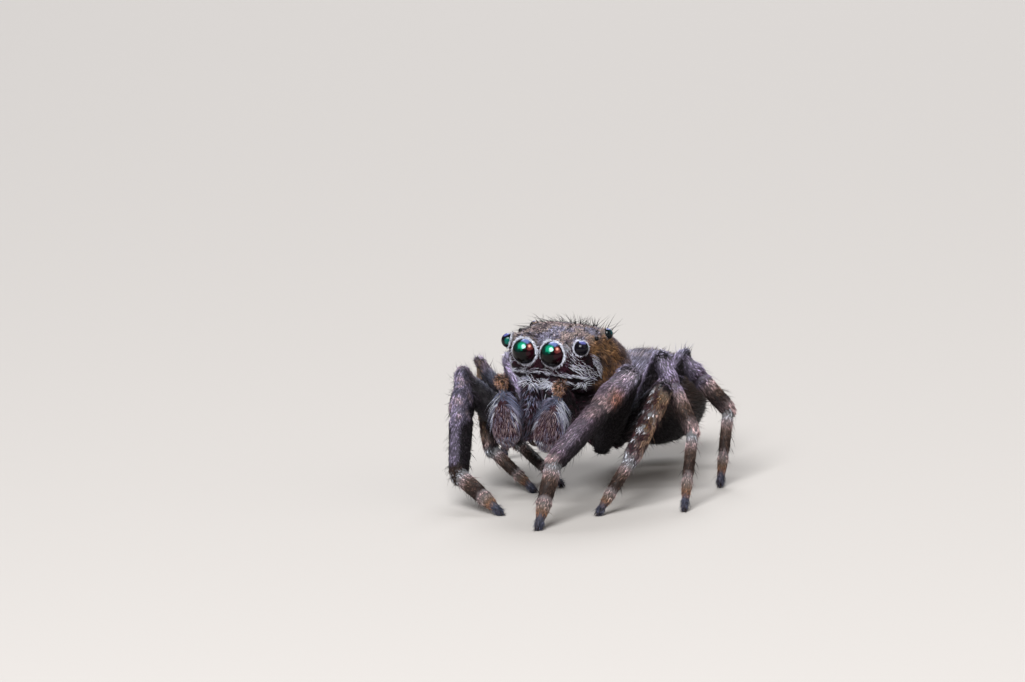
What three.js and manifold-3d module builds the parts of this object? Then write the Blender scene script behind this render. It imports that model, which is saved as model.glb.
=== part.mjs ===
// A jumping spider (a male of the size of Evarcha arcuata), at life size, standing on a level floor.
//
// Millimetres and degrees. The floor is z = 0, +Z is up, the face is turned to -Y and the
// spider's own left is +X. Points on the trunk are given as (left, forward, up) from the
// point midway between the two big front eyes. Leg directions are given as a heading
// (0 straight ahead, 90 straight out to the leg's own side) and a rise above the level.
// Every outline is that of the coat's tips, so the bare skin lies a little inside it.

import * as THREE from 'three';
import { mergeVertices } from 'three/addons/utils/BufferGeometryUtils.js';
import Module from 'manifold-3d';

const wasm = await Module();
wasm.setup();

// ---------------------------------------------------------------- driving dimensions

const EYE_HEIGHT = 2.98; // the big front eyes above the floor
const BODY_LEAN = 3; // the trunk leans to its left
const GAP = 0.025; // clearance between neighbouring pieces
const TOE_HEIGHT = 0.08; // the end of a foot's axis above the floor
const SEAM_TOLERANCE = 1e-5; // vertices nearer than this are one
const POLE_RING = 1e-9; // a ring of a sphere smaller than this is its pole

const CARAPACE = {
  front: 0.07,
  back: -2.68,
  bluntness: 3.6,
  level: [-0.15, -0.35, -0.5, -0.6, -0.7],
  halfWidth: [1.0, 0.95, 0.93, 0.91, 0.78],
  top: [0.33, 0.43, 0.38, 0.03, -0.45],
  bottom: [-0.56, -0.92, -1.1, -1.15, -1.1],
  squareAbove: [3.4, 3.8, 4, 3, 2.3],
  squareBelow: [3.6, 3.6],
  around: 24,
  along: 14,
};

const ABDOMEN = {
  front: -2.86,
  back: -5.72,
  bluntness: 2.6,
  level: [-1.35, -1.5, -1.65, -1.75, -1.82],
  halfWidth: [0.86, 1.0, 1.06, 0.96, 0.66],
  top: [-0.72, -0.6, -0.64, -0.86, -1.3],
  bottom: [-2.1, -2.5, -2.66, -2.56, -2.25],
  squareAbove: [2.1, 2.1],
  squareBelow: [2.2, 2.2],
  around: 24,
  along: 12,
};

const STERNUM = {
  front: -0.74,
  back: -2.42,
  bluntness: 3,
  level: [-1.45, -1.45],
  halfWidth: [0.46, 0.52, 0.46],
  top: [-1.18, -1.18],
  bottom: [-1.74, -1.8, -1.7],
  squareAbove: [4, 4],
  squareBelow: [2.4, 2.4],
  around: 16,
  along: 8,
};

const MOUTH = {
  front: -0.3,
  back: -0.71,
  bluntness: 4,
  level: [-1.4, -1.4],
  halfWidth: [0.4, 0.42],
  top: [-0.9, -1.0],
  bottom: [-1.84, -1.78],
  squareAbove: [4, 4],
  squareBelow: [2.6, 2.6],
  around: 12,
  along: 6,
};

// Centre of each left eye, its radius and how finely it is cut; the right ones mirror them.
const EYES = [
  { name: 'front_middle', centre: [0.31, 0, 0], radius: 0.25, around: 16, along: 10 },
  { name: 'front_side', centre: [0.81, -0.22, 0.12], radius: 0.145, around: 12, along: 8 },
  { name: 'back_middle', centre: [0.85, -0.74, 0.22], radius: 0.045, around: 6, along: 4 },
  { name: 'back_side', centre: [0.81, -1.22, 0.22], radius: 0.11, around: 10, along: 6 },
];

const CHELICERA = {
  root: [0.24, -0.08, -0.7],
  tip: [0.25, -0.04, -1.62],
  radii: [0.23, 0.24, 0.22, 0.16],
  flatten: 0.92,
};

const FANG = {
  root: [0.24, -0.04, -1.8],
  tip: [0.07, -0.14, -1.86],
  radii: [0.05, 0.045, 0.03],
  flatten: 1,
};

const PALP = {
  root: [0.68, -0.4, -1.5],
  elbow: [0.66, 0.3, -0.54],
  tip: [0.44, 0.47, -1.6],
  armRadii: [0.17, 0.19, 0.2],
  armFlatten: 0.9,
  handRadii: [0.21, 0.33, 0.38, 0.35, 0.26],
  handFlatten: 0.8,
};

const PEDICEL = {
  front: [0, -2.3, -1.15],
  back: [0, -3.1, -1.38],
  radii: [0.24, 0.22, 0.26],
};

const SPINNERETS = {
  front: [0, -5.3, -1.85],
  back: [0, -5.78, -1.95],
  radii: [0.26, 0.22, 0.12],
  flatten: 1.25,
};

// The four leg pairs from front to back: where the coxa starts and where it meets the femur,
// the lengths, and the half-heights along each segment. Flatten is width over height.
const LEG_PAIRS = [
  {
    coxa: [0.53, -0.92, -1.52],
    hip: [0.95, -0.74, -1.85],
    femur: 1.64,
    tibia: 2.42,
    foot: 1.33,
    femurRadii: [0.26, 0.31, 0.32, 0.29],
    tibiaRadii: [0.3, 0.35, 0.3, 0.28, 0.27, 0.23],
    footRadii: [0.22, 0.22, 0.21, 0.22, 0.19],
    flatten: 0.92,
  },
  {
    coxa: [0.53, -1.3, -1.52],
    hip: [0.97, -1.25, -1.85],
    femur: 1.64,
    tibia: 1.62,
    foot: 1.18,
    femurRadii: [0.24, 0.26, 0.26, 0.25],
    tibiaRadii: [0.25, 0.26, 0.23, 0.23, 0.21],
    footRadii: [0.21, 0.21, 0.2, 0.21, 0.18],
    flatten: 0.86,
  },
  {
    coxa: [0.53, -1.68, -1.52],
    hip: [0.97, -1.77, -1.85],
    femur: 1.74,
    tibia: 1.69,
    foot: 1.72,
    femurRadii: [0.23, 0.27, 0.26, 0.24],
    tibiaRadii: [0.24, 0.25, 0.22, 0.23, 0.21],
    footRadii: [0.21, 0.21, 0.2, 0.21, 0.18],
    flatten: 0.84,
  },
  {
    coxa: [0.5, -2.04, -1.5],
    hip: [0.92, -2.28, -1.8],
    femur: 1.58,
    tibia: 1.36,
    foot: 1.5,
    femurRadii: [0.23, 0.28, 0.27, 0.24],
    tibiaRadii: [0.24, 0.25, 0.23, 0.23, 0.21],
    footRadii: [0.21, 0.21, 0.2, 0.21, 0.18],
    flatten: 0.84,
  },
];
const COXA_RADII = [0.19, 0.25, 0.25];
const COXA_FLATTEN = 0.84;

// [heading, rise] of each femur and tibia, and each foot's heading. A foot's rise follows
// from its length, because its toe stands on the floor.
const STANCE = {
  left: [
    { femur: [73, 58], tibia: [-17, -34], foot: 5 },
    { femur: [82, 41], tibia: [-8, -46], foot: -27 },
    { femur: [88, 63], tibia: [61, -51], foot: 20 },
    { femur: [138, 54], tibia: [100, -49], foot: 12 },
  ],
  right: [
    { femur: [96, 40], tibia: [-26, -41], foot: -69 },
    { femur: [105, 41], tibia: [-38, -64], foot: -85 },
    { femur: [122, 42], tibia: [-60, -86], foot: -60 },
    { femur: [140, 45], tibia: [110, -44], foot: 120 },
  ],
};

// ---------------------------------------------------------------- materials

function finish(color, roughness) {
  return new THREE.MeshStandardMaterial({ color, roughness, metalness: 0 });
}

const HEAD_COAT = finish('#6b5a4c', 0.75);
const BELLY_SKIN = finish('#2a2026', 0.6);
const ABDOMEN_COAT = finish('#4a4046', 0.8);
const EYE_LENS = finish('#0d0b10', 0.08);
const JAW_SKIN = finish('#33232a', 0.5);
const PALP_COAT = finish('#54404a', 0.75);
const FANG_HORN = finish('#1c0f0c', 0.3);
const FEMUR_COAT = finish('#2e2a36', 0.7);
const TIBIA_COAT = finish('#655863', 0.75);
const FOOT_COAT = finish('#8a7270', 0.7);

// ---------------------------------------------------------------- solids

// Turns a three.js geometry into a solid with shared corners and no collapsed triangles.
function solidFrom(geometry) {
  geometry.deleteAttribute('normal');
  geometry.deleteAttribute('uv');
  const merged = mergeVertices(geometry, SEAM_TOLERANCE);
  const corners = merged.index.array;
  const kept = [];
  for (let i = 0; i < corners.length; i += 3) {
    const [a, b, c] = corners.slice(i, i + 3);
    if (a !== b && b !== c && c !== a) {
      kept.push(a, b, c);
    }
  }
  return new wasm.Manifold(new wasm.Mesh({
    numProp: 3,
    vertProperties: Float32Array.from(merged.attributes.position.array),
    triVerts: Uint32Array.from(kept),
  }));
}

function geometryFrom(solid) {
  const mesh = solid.getMesh();
  const geometry = new THREE.BufferGeometry();
  geometry.setAttribute('position', new THREE.BufferAttribute(mesh.vertProperties, 3));
  geometry.setIndex(new THREE.BufferAttribute(mesh.triVerts, 1));
  geometry.computeVertexNormals();
  return geometry;
}

// A smooth value between evenly spaced ones, at a share from 0 to 1 of the way along.
function between(values, share) {
  const knots = values.map((value, i) => new THREE.Vector2(i, value));
  return new THREE.SplineCurve(knots).getPoint(share).y;
}

// A closed body lying front to back. Each ring of a sphere whose poles point front and back
// is spread to the half-width, top and bottom at its place; bluntness squares the two ends.
function roundedForm(form) {
  const ball = new THREE.SphereGeometry(1, form.around, form.along);
  const places = ball.attributes.position;
  for (let i = 0; i < places.count; i += 1) {
    const share = (1 - places.getY(i)) / 2;
    const ring = Math.hypot(places.getX(i), places.getZ(i));
    const side = ring > POLE_RING ? places.getX(i) / ring : 0;
    const rise = ring > POLE_RING ? places.getZ(i) / ring : 0;
    const end = (1 - Math.abs(2 * share - 1) ** form.bluntness) ** (1 / form.bluntness);
    const level = between(form.level, share);
    const limit = rise > 0 ? between(form.top, share) : between(form.bottom, share);
    const power = between(rise > 0 ? form.squareAbove : form.squareBelow, share);
    const spread = ring > POLE_RING
      ? end / (Math.abs(side) ** power + Math.abs(rise) ** power) ** (1 / power)
      : 0;
    const forward = form.front + (form.back - form.front) * share;
    places.setXYZ(
      i,
      -side * spread * between(form.halfWidth, share),
      -forward,
      level + Math.abs(rise) * spread * (limit - level),
    );
  }
  return solidFrom(ball);
}

// A turned piece along +Z with a round cap at each end, and flattened across X.
const LIMB_SIDES = 10;
const CAP_STEP = Math.PI / 4;

function limbSolid(length, radii, flatten) {
  const last = radii.length - 1;
  const outline = [
    new THREE.Vector2(0, -radii[0]),
    new THREE.Vector2(radii[0] * Math.cos(CAP_STEP), -radii[0] * Math.sin(CAP_STEP)),
  ];
  radii.forEach((radius, i) => outline.push(new THREE.Vector2(radius, (length * i) / last)));
  outline.push(
    new THREE.Vector2(radii[last] * Math.cos(CAP_STEP), length + radii[last] * Math.sin(CAP_STEP)),
    new THREE.Vector2(0, length + radii[last]),
  );
  const turned = new THREE.LatheGeometry(outline, LIMB_SIDES);
  turned.rotateX(Math.PI / 2);
  turned.scale(flatten, 1, 1);
  return solidFrom(turned);
}

// ---------------------------------------------------------------- placing

const spider = new THREE.Group();
const trunk = new THREE.Group();
trunk.position.z = EYE_HEIGHT;
trunk.rotation.y = THREE.MathUtils.degToRad(BODY_LEAN);
spider.add(trunk);
const legs = new THREE.Group();
spider.add(legs);
spider.updateMatrixWorld(true);

const UP = new THREE.Vector3(0, 0, 1);
const SIDES = [['left', 1], ['right', -1]];

// A trunk point as (left, forward, up), mirrored for the right side.
function spot([left, forward, up], side = 1) {
  return new THREE.Vector3(side * left, -forward, up);
}

// The turn that lays +Z along a direction, with the narrow way of a limb along +X.
function turnAlong(direction, narrowWay) {
  const tall = new THREE.Vector3().crossVectors(direction, narrowWay).normalize();
  const across = new THREE.Vector3().crossVectors(tall, direction);
  return new THREE.Quaternion().setFromRotationMatrix(
    new THREE.Matrix4().makeBasis(across, tall, direction),
  );
}

// The placed solids by name, in the spider's own frame, for cutting clearances.
const placed = new Map();

// A solid grown by the gap on every side.
function grown(solid) {
  const { min, max } = solid.boundingBox();
  const middle = min.map((low, i) => (low + max[i]) / 2);
  const factors = min.map((low, i) => (max[i] - low + 2 * GAP) / (max[i] - low));
  return solid.translate(middle.map((value) => -value)).scale(factors).translate(middle);
}

// Adds one named piece to a group, after cutting clearances for neighbours already placed.
function addPiece(group, name, solid, material, options = {}) {
  const mesh = new THREE.Mesh();
  mesh.name = name;
  mesh.material = material;
  mesh.position.copy(options.position ?? new THREE.Vector3());
  mesh.quaternion.copy(options.turn ?? new THREE.Quaternion());
  group.add(mesh);
  mesh.updateMatrixWorld(true);
  const back = mesh.matrixWorld.clone().invert().elements;
  let cut = solid;
  for (const neighbour of options.clearOf ?? []) {
    cut = cut.subtract(grown(placed.get(neighbour)).transform(back));
  }
  for (const { point, keep } of options.planes ?? []) {
    const inward = keep.clone().applyQuaternion(mesh.quaternion.clone().invert());
    const offset = keep.dot(point.clone().sub(mesh.position));
    cut = cut.trimByPlane(inward.toArray(), offset);
  }
  mesh.geometry = geometryFrom(cut);
  placed.set(name, cut.transform(mesh.matrixWorld.elements));
}

// Adds one limb piece between two points of its group. Its narrow way is level unless given.
function addLimb(group, name, from, to, radii, flatten, material, options = {}) {
  const direction = to.clone().sub(from).normalize();
  const narrowWay = options.narrowWay ?? new THREE.Vector3().crossVectors(UP, direction);
  const turn = turnAlong(direction, narrowWay);
  const solid = limbSolid(to.distanceTo(from), radii, flatten);
  addPiece(group, name, solid, material, { ...options, position: from, turn });
}

// The plane that halves the bend at a joint, for the piece on its near or far side.
function jointPlane(before, joint, after, farSide) {
  const along = joint.clone().sub(before).normalize()
    .add(after.clone().sub(joint).normalize()).normalize();
  const keep = farSide ? along : along.negate();
  return { point: joint.clone().addScaledVector(keep, GAP / 2), keep };
}

// ---------------------------------------------------------------- trunk

const sockets = [];

function addEyes() {
  for (const [sideName, side] of SIDES) {
    for (const eye of EYES) {
      const ball = new THREE.SphereGeometry(eye.radius, eye.around, eye.along);
      const name = `eye_${eye.name}_${sideName}`;
      addPiece(trunk, name, solidFrom(ball), EYE_LENS, { position: spot(eye.centre, side) });
      sockets.push(name);
    }
  }
}

function addJaws() {
  for (const [sideName, side] of SIDES) {
    addLimb(
      trunk, `chelicera_${sideName}`, spot(CHELICERA.root, side), spot(CHELICERA.tip, side),
      CHELICERA.radii, CHELICERA.flatten, JAW_SKIN, { clearOf: ['carapace', 'mouthparts'] },
    );
    addLimb(
      trunk, `fang_${sideName}`, spot(FANG.root, side), spot(FANG.tip, side),
      FANG.radii, FANG.flatten, FANG_HORN, { clearOf: [`chelicera_${sideName}`] },
    );
  }
}

function addPalps() {
  for (const [sideName, side] of SIDES) {
    const root = spot(PALP.root, side);
    const elbow = spot(PALP.elbow, side);
    const tip = spot(PALP.tip, side);
    addLimb(
      trunk, `palp_arm_${sideName}`, root, elbow, PALP.armRadii, PALP.armFlatten, PALP_COAT,
      {
        clearOf: ['carapace', 'mouthparts', `chelicera_${sideName}`],
        planes: [jointPlane(root, elbow, tip, false)],
      },
    );
    addLimb(
      trunk, `palp_hand_${sideName}`, elbow, tip, PALP.handRadii, PALP.handFlatten, PALP_COAT,
      {
        clearOf: ['carapace', `chelicera_${sideName}`],
        planes: [jointPlane(root, elbow, tip, true)],
        narrowWay: spot([0, 1, 0]),
      },
    );
  }
}

addEyes();
addPiece(trunk, 'carapace', roundedForm(CARAPACE), HEAD_COAT, { clearOf: sockets });
addPiece(trunk, 'sternum', roundedForm(STERNUM), BELLY_SKIN, { clearOf: ['carapace'] });
addPiece(trunk, 'mouthparts', roundedForm(MOUTH), JAW_SKIN, { clearOf: ['carapace', 'sternum'] });
addPiece(trunk, 'abdomen', roundedForm(ABDOMEN), ABDOMEN_COAT);
addLimb(
  trunk, 'pedicel', spot(PEDICEL.front), spot(PEDICEL.back), PEDICEL.radii, 1, BELLY_SKIN,
  { clearOf: ['carapace', 'sternum', 'abdomen'] },
);
addLimb(
  trunk, 'spinnerets', spot(SPINNERETS.front), spot(SPINNERETS.back), SPINNERETS.radii,
  SPINNERETS.flatten, BELLY_SKIN, { clearOf: ['abdomen'] },
);
addJaws();
addPalps();

// ---------------------------------------------------------------- legs

function heading([turn, rise], side) {
  const flat = Math.cos(THREE.MathUtils.degToRad(rise));
  return new THREE.Vector3(
    side * flat * Math.sin(THREE.MathUtils.degToRad(turn)),
    -flat * Math.cos(THREE.MathUtils.degToRad(turn)),
    Math.sin(THREE.MathUtils.degToRad(rise)),
  );
}

function addLeg(number, sideName, side) {
  const pair = LEG_PAIRS[number];
  const stance = STANCE[sideName][number];
  const name = `leg_${sideName}_${number + 1}`;
  const root = trunk.localToWorld(spot(pair.coxa, side));
  const hip = trunk.localToWorld(spot(pair.hip, side));
  const knee = hip.clone().addScaledVector(heading(stance.femur, side), pair.femur);
  const ankle = knee.clone().addScaledVector(heading(stance.tibia, side), pair.tibia);
  const drop = THREE.MathUtils.radToDeg(Math.asin((TOE_HEIGHT - ankle.z) / pair.foot));
  const toe = ankle.clone().addScaledVector(heading([stance.foot, drop], side), pair.foot);
  const floor = { point: new THREE.Vector3(), keep: UP };

  addLimb(legs, `${name}_coxa`, root, hip, COXA_RADII, COXA_FLATTEN, BELLY_SKIN, {
    clearOf: ['carapace', 'sternum', 'mouthparts'],
    planes: [jointPlane(root, hip, knee, false)],
  });
  addLimb(legs, `${name}_femur`, hip, knee, pair.femurRadii, pair.flatten, FEMUR_COAT, {
    clearOf: ['carapace'],
    planes: [jointPlane(root, hip, knee, true), jointPlane(hip, knee, ankle, false)],
  });
  addLimb(legs, `${name}_tibia`, knee, ankle, pair.tibiaRadii, pair.flatten, TIBIA_COAT, {
    planes: [jointPlane(hip, knee, ankle, true), jointPlane(knee, ankle, toe, false)],
  });
  addLimb(legs, `${name}_foot`, ankle, toe, pair.footRadii, 1, FOOT_COAT, {
    planes: [jointPlane(knee, ankle, toe, true), floor],
  });
}

for (const [sideName, side] of SIDES) {
  for (let number = 0; number < LEG_PAIRS.length; number += 1) {
    addLeg(number, sideName, side);
  }
}

// ---------------------------------------------------------------- origin

// The origin is on the floor under the middle of the whole spider.
const box = new THREE.Box3().setFromObject(spider, true);
const centre = box.getCenter(new THREE.Vector3());
spider.position.set(-centre.x, -centre.y, -box.min.z);
spider.updateMatrixWorld(true);

export default spider;
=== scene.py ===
"""A life-size jumping spider: one skin, its coat, eyes, fangs and claws, in a plain studio."""

import math

import bpy
import numpy as np
from mathutils import Matrix, Vector
from mathutils.bvhtree import BVHTree
from mathutils.kdtree import KDTree


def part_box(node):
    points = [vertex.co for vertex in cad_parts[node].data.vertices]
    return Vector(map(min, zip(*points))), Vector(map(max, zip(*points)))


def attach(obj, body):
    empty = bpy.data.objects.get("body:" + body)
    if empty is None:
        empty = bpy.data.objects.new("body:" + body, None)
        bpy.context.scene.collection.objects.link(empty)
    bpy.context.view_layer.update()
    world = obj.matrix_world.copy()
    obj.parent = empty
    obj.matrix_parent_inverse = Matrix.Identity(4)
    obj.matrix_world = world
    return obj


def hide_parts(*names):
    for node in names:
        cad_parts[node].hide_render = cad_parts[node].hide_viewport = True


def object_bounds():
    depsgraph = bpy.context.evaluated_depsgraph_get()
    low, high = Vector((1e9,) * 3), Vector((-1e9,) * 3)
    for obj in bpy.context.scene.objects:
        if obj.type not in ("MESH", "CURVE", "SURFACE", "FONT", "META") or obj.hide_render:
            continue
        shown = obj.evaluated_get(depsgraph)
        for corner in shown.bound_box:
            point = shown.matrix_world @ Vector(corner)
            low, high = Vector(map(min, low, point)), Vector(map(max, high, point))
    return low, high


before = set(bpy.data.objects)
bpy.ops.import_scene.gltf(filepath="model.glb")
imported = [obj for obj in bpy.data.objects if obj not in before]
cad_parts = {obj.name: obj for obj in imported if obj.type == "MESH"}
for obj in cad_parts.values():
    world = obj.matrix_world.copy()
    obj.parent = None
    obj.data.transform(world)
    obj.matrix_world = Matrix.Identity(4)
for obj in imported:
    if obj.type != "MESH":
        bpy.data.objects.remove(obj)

cad_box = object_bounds()

# Lengths in this script are millimetres, and a mesh is brought to metres as it is made.
MM = 0.001
rng = np.random.default_rng(20)

SIDES = ("left", "right")
SIGN = {"left": 1, "right": -1}
LEG_PAIRS = (1, 2, 3, 4)
SEGMENTS = ("coxa", "femur", "tibia", "foot")
EYE_ROWS = ("front_middle", "front_side", "back_middle", "back_side")

# ------------------------------------------------------------------ the body's own frame


def unit(vectors):
    vectors = np.asarray(vectors, float)
    length = np.linalg.norm(vectors, axis=-1, keepdims=True)
    return vectors / np.maximum(length, 1e-9)


def middle(node):
    low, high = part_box(node)
    return np.array((low + high) / 2) / MM


def radius_of(node):
    low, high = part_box(node)
    return max(high - low) / 2 / MM


# Body points are (left, forward, up) from the point midway between the two big front eyes.
HEAD = (middle("eye_front_middle_left") + middle("eye_front_middle_right")) / 2
LEFT = unit(middle("eye_front_middle_left") - middle("eye_front_middle_right"))
FORWARD = np.array((0.0, -1.0, 0.0))
UP = np.cross(FORWARD, LEFT)
BODY_AXES = np.stack((LEFT, FORWARD, UP))


def to_body(points):
    return (np.asarray(points) - HEAD) @ BODY_AXES.T


def from_body(points):
    return HEAD + np.asarray(points, float) @ BODY_AXES


def mirrored(side, spot):
    """The place of a body point of the left side, or of its mirror image on the right."""
    return from_body(np.array((SIGN[side], 1, 1)) * spot)


def ramp(low, high, value):
    t = np.clip((np.asarray(value, float) - low) / (high - low), 0, 1)
    return t * t * (3 - 2 * t)


def bell(value, centre, width):
    return np.exp(-(((np.asarray(value, float) - centre) / width) ** 2))


def ripple(points, size, seed):
    """A soft uneven pattern between about -1 and 1, whose patches are about `size` across."""
    waves = np.random.default_rng(seed)
    total = np.zeros(len(points))
    for _ in range(7):
        heading = unit(waves.normal(size=3))
        pitch = size * waves.uniform(0.75, 1.7)
        total += np.sin(points @ heading * 2 * np.pi / pitch + waves.uniform(0, 2 * np.pi))
    return total / 3.2


# ------------------------------------------------------------------ camera, floor and lights

CAMERA_DISTANCE = 180.0
VIEW_WIDTH = 19.71
SENSOR = 36.0
CAMERA_AZIMUTH = math.radians(31.49)
CAMERA_ELEVATION = math.radians(9.94)
CAMERA_ROLL = math.radians(3.18)
AIM_LEFT = 0.51
AIM_UP = 0.22


FLOOR_HALF = 2.5
FLOOR_LOOK = {"Base Color": (0.47, 0.44, 0.41, 1), "Roughness": 0.9, "Specular IOR Level": 0.2}
SKY_LOOK = {"Color": (0.60, 0.58, 0.58, 1), "Strength": 0.27}
# Each light's azimuth and elevation in degrees, distance and size, watts and colour.
LIGHTS = {
    "key": (16, 46, 160, 90, 0.44, (0.95, 0.97, 1.0)),
    "fill": (95, 30, 180, 140, 0.05, (1.0, 0.95, 0.9)),
    "back": (205, 42, 170, 80, 0.2, (0.92, 0.95, 1.0)),
}


def bearing(azimuth, elevation):
    """The way from the head toward this bearing, in radians. Azimuth 0 is straight ahead of it."""
    return np.array((
        math.sin(azimuth) * math.cos(elevation), -math.cos(azimuth) * math.cos(elevation),
        math.sin(elevation),
    ))


def link(item):
    bpy.context.scene.collection.objects.link(item)


def set_place(item, right, up, out, spot):
    """Puts an object at a spot, with its own X, Y and Z along the three directions."""
    place = np.eye(4)
    place[:3] = np.stack((right, up, out, spot * MM), axis=1)
    item.matrix_world = Matrix(place.tolist())


def make_camera():
    toward = bearing(CAMERA_AZIMUTH, CAMERA_ELEVATION)
    level_up = unit(np.array((0, 0, 1.0)) - toward[2] * toward)
    level_right = np.cross(level_up, toward)
    up = math.cos(CAMERA_ROLL) * level_up + math.sin(CAMERA_ROLL) * level_right
    right = np.cross(up, toward)
    aim = HEAD - AIM_LEFT * right + AIM_UP * up
    data = bpy.data.cameras.new("camera")
    data.sensor_width = SENSOR
    data.lens = SENSOR * CAMERA_DISTANCE / VIEW_WIDTH
    data.clip_start = 0.002
    camera = bpy.data.objects.new("camera", data)
    set_place(camera, right, up, toward, aim + CAMERA_DISTANCE * toward)
    link(camera)
    bpy.context.scene.camera = camera


def set_inputs(node, settings):
    for name, value in settings.items():
        node.inputs[name].default_value = value


def new_material(name, settings):
    """A material whose shader has these settings, with its nodes and its links."""
    material = bpy.data.materials.new(name)
    material.use_nodes = True
    nodes = material.node_tree.nodes
    set_inputs(nodes["Principled BSDF"], settings)
    return material, nodes, material.node_tree.links


def make_floor():
    mesh = bpy.data.meshes.new("floor")
    corners = [(x * FLOOR_HALF, y * FLOOR_HALF, 0) for x, y in ((-1, -1), (1, -1), (1, 1), (-1, 1))]
    mesh.from_pydata(corners, [], [(0, 1, 2, 3)])
    floor = bpy.data.objects.new("floor", mesh)
    link(floor)
    mesh.materials.append(new_material("floor_paper", FLOOR_LOOK)[0])


def area_light(name, azimuth, elevation, distance, size, watts, colour):
    """A soft square light at that bearing from the head, facing it."""
    toward = bearing(math.radians(azimuth), math.radians(elevation))
    data = bpy.data.lights.new(name, "AREA")
    data.size = size * MM
    data.energy = watts
    data.color = colour
    light = bpy.data.objects.new(name, data)
    light.location = Vector((HEAD * (1, 1, 0.6) + toward * distance) * MM)
    light.rotation_euler = Vector(toward).to_track_quat("Z", "Y").to_euler()
    link(light)


def make_studio():
    scene = bpy.context.scene
    scene.view_settings.view_transform = "Standard"
    world = bpy.data.worlds.new("studio")
    world.use_nodes = True
    set_inputs(world.node_tree.nodes["Background"], SKY_LOOK)
    scene.world = world
    for name, settings in LIGHTS.items():
        area_light(name, *settings)


make_camera()
make_floor()
make_studio()

# ------------------------------------------------------------------ what the solids say


def read(items, key, size=1, kind=float):
    """One value, or a row of `size` values, from each item of a mesh."""
    values = np.empty(len(items) * size, kind)
    items.foreach_get(key, values)
    return values.reshape(-1, size) if size > 1 else values


def node_points(node):
    points = read(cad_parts[node].data.vertices, "co", 3)
    return np.unique(np.round(points / MM, 5), axis=0)


def node_tree(node):
    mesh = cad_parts[node].data
    points = [vertex.co / MM for vertex in mesh.vertices]
    return BVHTree.FromPolygons(points, [tuple(face.vertices) for face in mesh.polygons])


def rim_between(first, second):
    """The corners of the cut where two neighbouring pieces face each other."""
    a = node_points(first)
    b = node_points(second)
    gaps = np.linalg.norm(a[:, None] - b[None], axis=2)
    touching = 0.06
    return np.concatenate((a[gaps.min(axis=1) < touching], b[gaps.min(axis=0) < touching]))


def far_end(node, joint, rounding):
    """The middle of the end away from the joint."""
    points = node_points(node)
    distance = np.linalg.norm(points - joint, axis=1)
    return points[distance > distance.max() - rounding].mean(axis=0)


def centreline(node, start, end):
    """A limb piece's own middle line, as a point and a direction, from slices across it."""
    tree = node_tree(node)
    axis = unit(end - start)
    first = unit(np.cross(axis, (0.3, 0.5, 0.8)))
    second = np.cross(axis, first)
    middles = []
    for share in (0.35, 0.65):
        centre = start + (end - start) * share
        hits = []
        for turn in np.linspace(0, 2 * np.pi, 24, endpoint=False):
            hit = tree.ray_cast(Vector(centre), Vector(math.cos(turn) * first + math.sin(turn) * second))[0]
            if hit is not None:
                hits.append(hit)
        middles.append(np.array(hits).mean(axis=0))
    return middles[0], unit(middles[1] - middles[0])


def limb_joints(nodes):
    """The places where a chain of limb pieces bends, and its two ends: where middle lines meet the cuts."""
    rims = [rim_between(first, second) for first, second in zip(nodes, nodes[1:])]
    places = [rim.mean(axis=0) for rim in rims]
    places = [far_end(nodes[0], places[0], 0.1), *places, far_end(nodes[-1], places[-1], 0.1)]
    lines = [centreline(node, start, end) for node, start, end in zip(nodes, places, places[1:])]
    joints = []
    for index, rim in enumerate(rims):
        normal = np.linalg.svd(rim - rim.mean(axis=0))[2][2]
        meets = []
        for point, direction in lines[index:index + 2]:
            reach = np.dot(rim.mean(axis=0) - point, normal) / np.dot(direction, normal)
            meets.append(point + direction * reach)
        joints.append(np.mean(meets, axis=0))
    ends = []
    for place, (point, direction) in ((places[0], lines[0]), (places[-1], lines[-1])):
        ends.append(point + direction * np.dot(place - point, direction))
    return [ends[0], *joints, ends[1]]


# ------------------------------------------------------------------ the parts of the skin

parts = []
form_points = []
form_faces = []
form_parts = []
point_count = 0


def add_part(name, start, end, dorsal):
    """A named part with its own lengthwise axis, and its back at angle 0."""
    axis = unit(end - start)
    back = unit(dorsal - np.dot(dorsal, axis) * axis)
    parts.append(dict(
        name=name, start=start, end=end, axis=axis, back=back, side=np.cross(axis, back),
        length=np.linalg.norm(end - start), index=len(parts),
    ))
    return parts[-1]


def add_form(part, points, faces):
    global point_count
    form_points.append(points)
    form_faces.extend([tuple(point_count + corner for corner in face) for face in faces])
    form_parts.append(np.full(len(points), part["index"]))
    point_count += len(points)


def grid_faces(rows, columns):
    """Faces of a closed form: rows of columns, a first and a last row that each shrink to a point."""
    faces = []
    for row in range(rows - 1):
        for column in range(columns):
            after = (column + 1) % columns
            faces.append((
                row * columns + column, row * columns + after,
                (row + 1) * columns + after, (row + 1) * columns + column,
            ))
    faces.append(tuple(reversed(range(columns))))
    faces.append(tuple(range((rows - 1) * columns, rows * columns)))
    return faces


def globe(polar, columns):
    """Directions all round, in a row for each angle from the top."""
    turn = np.linspace(0, 2 * np.pi, columns, endpoint=False)
    return np.stack((
        np.sin(polar)[:, None] * np.cos(turn),
        np.sin(polar)[:, None] * np.sin(turn),
        np.cos(polar)[:, None] * np.ones(columns),
    ), axis=-1)


def globe_faces(rows, columns):
    return [tuple(reversed(face)) for face in grid_faces(rows, columns)]


def add_ball(part, centre, radii, rows=14, columns=20):
    """An ellipsoid with these half sizes along the body's axes."""
    local = (globe(np.linspace(0.02, np.pi - 0.02, rows), columns) * radii).reshape(-1, 3)
    add_form(part, centre + local @ BODY_AXES, globe_faces(rows, columns))


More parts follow.
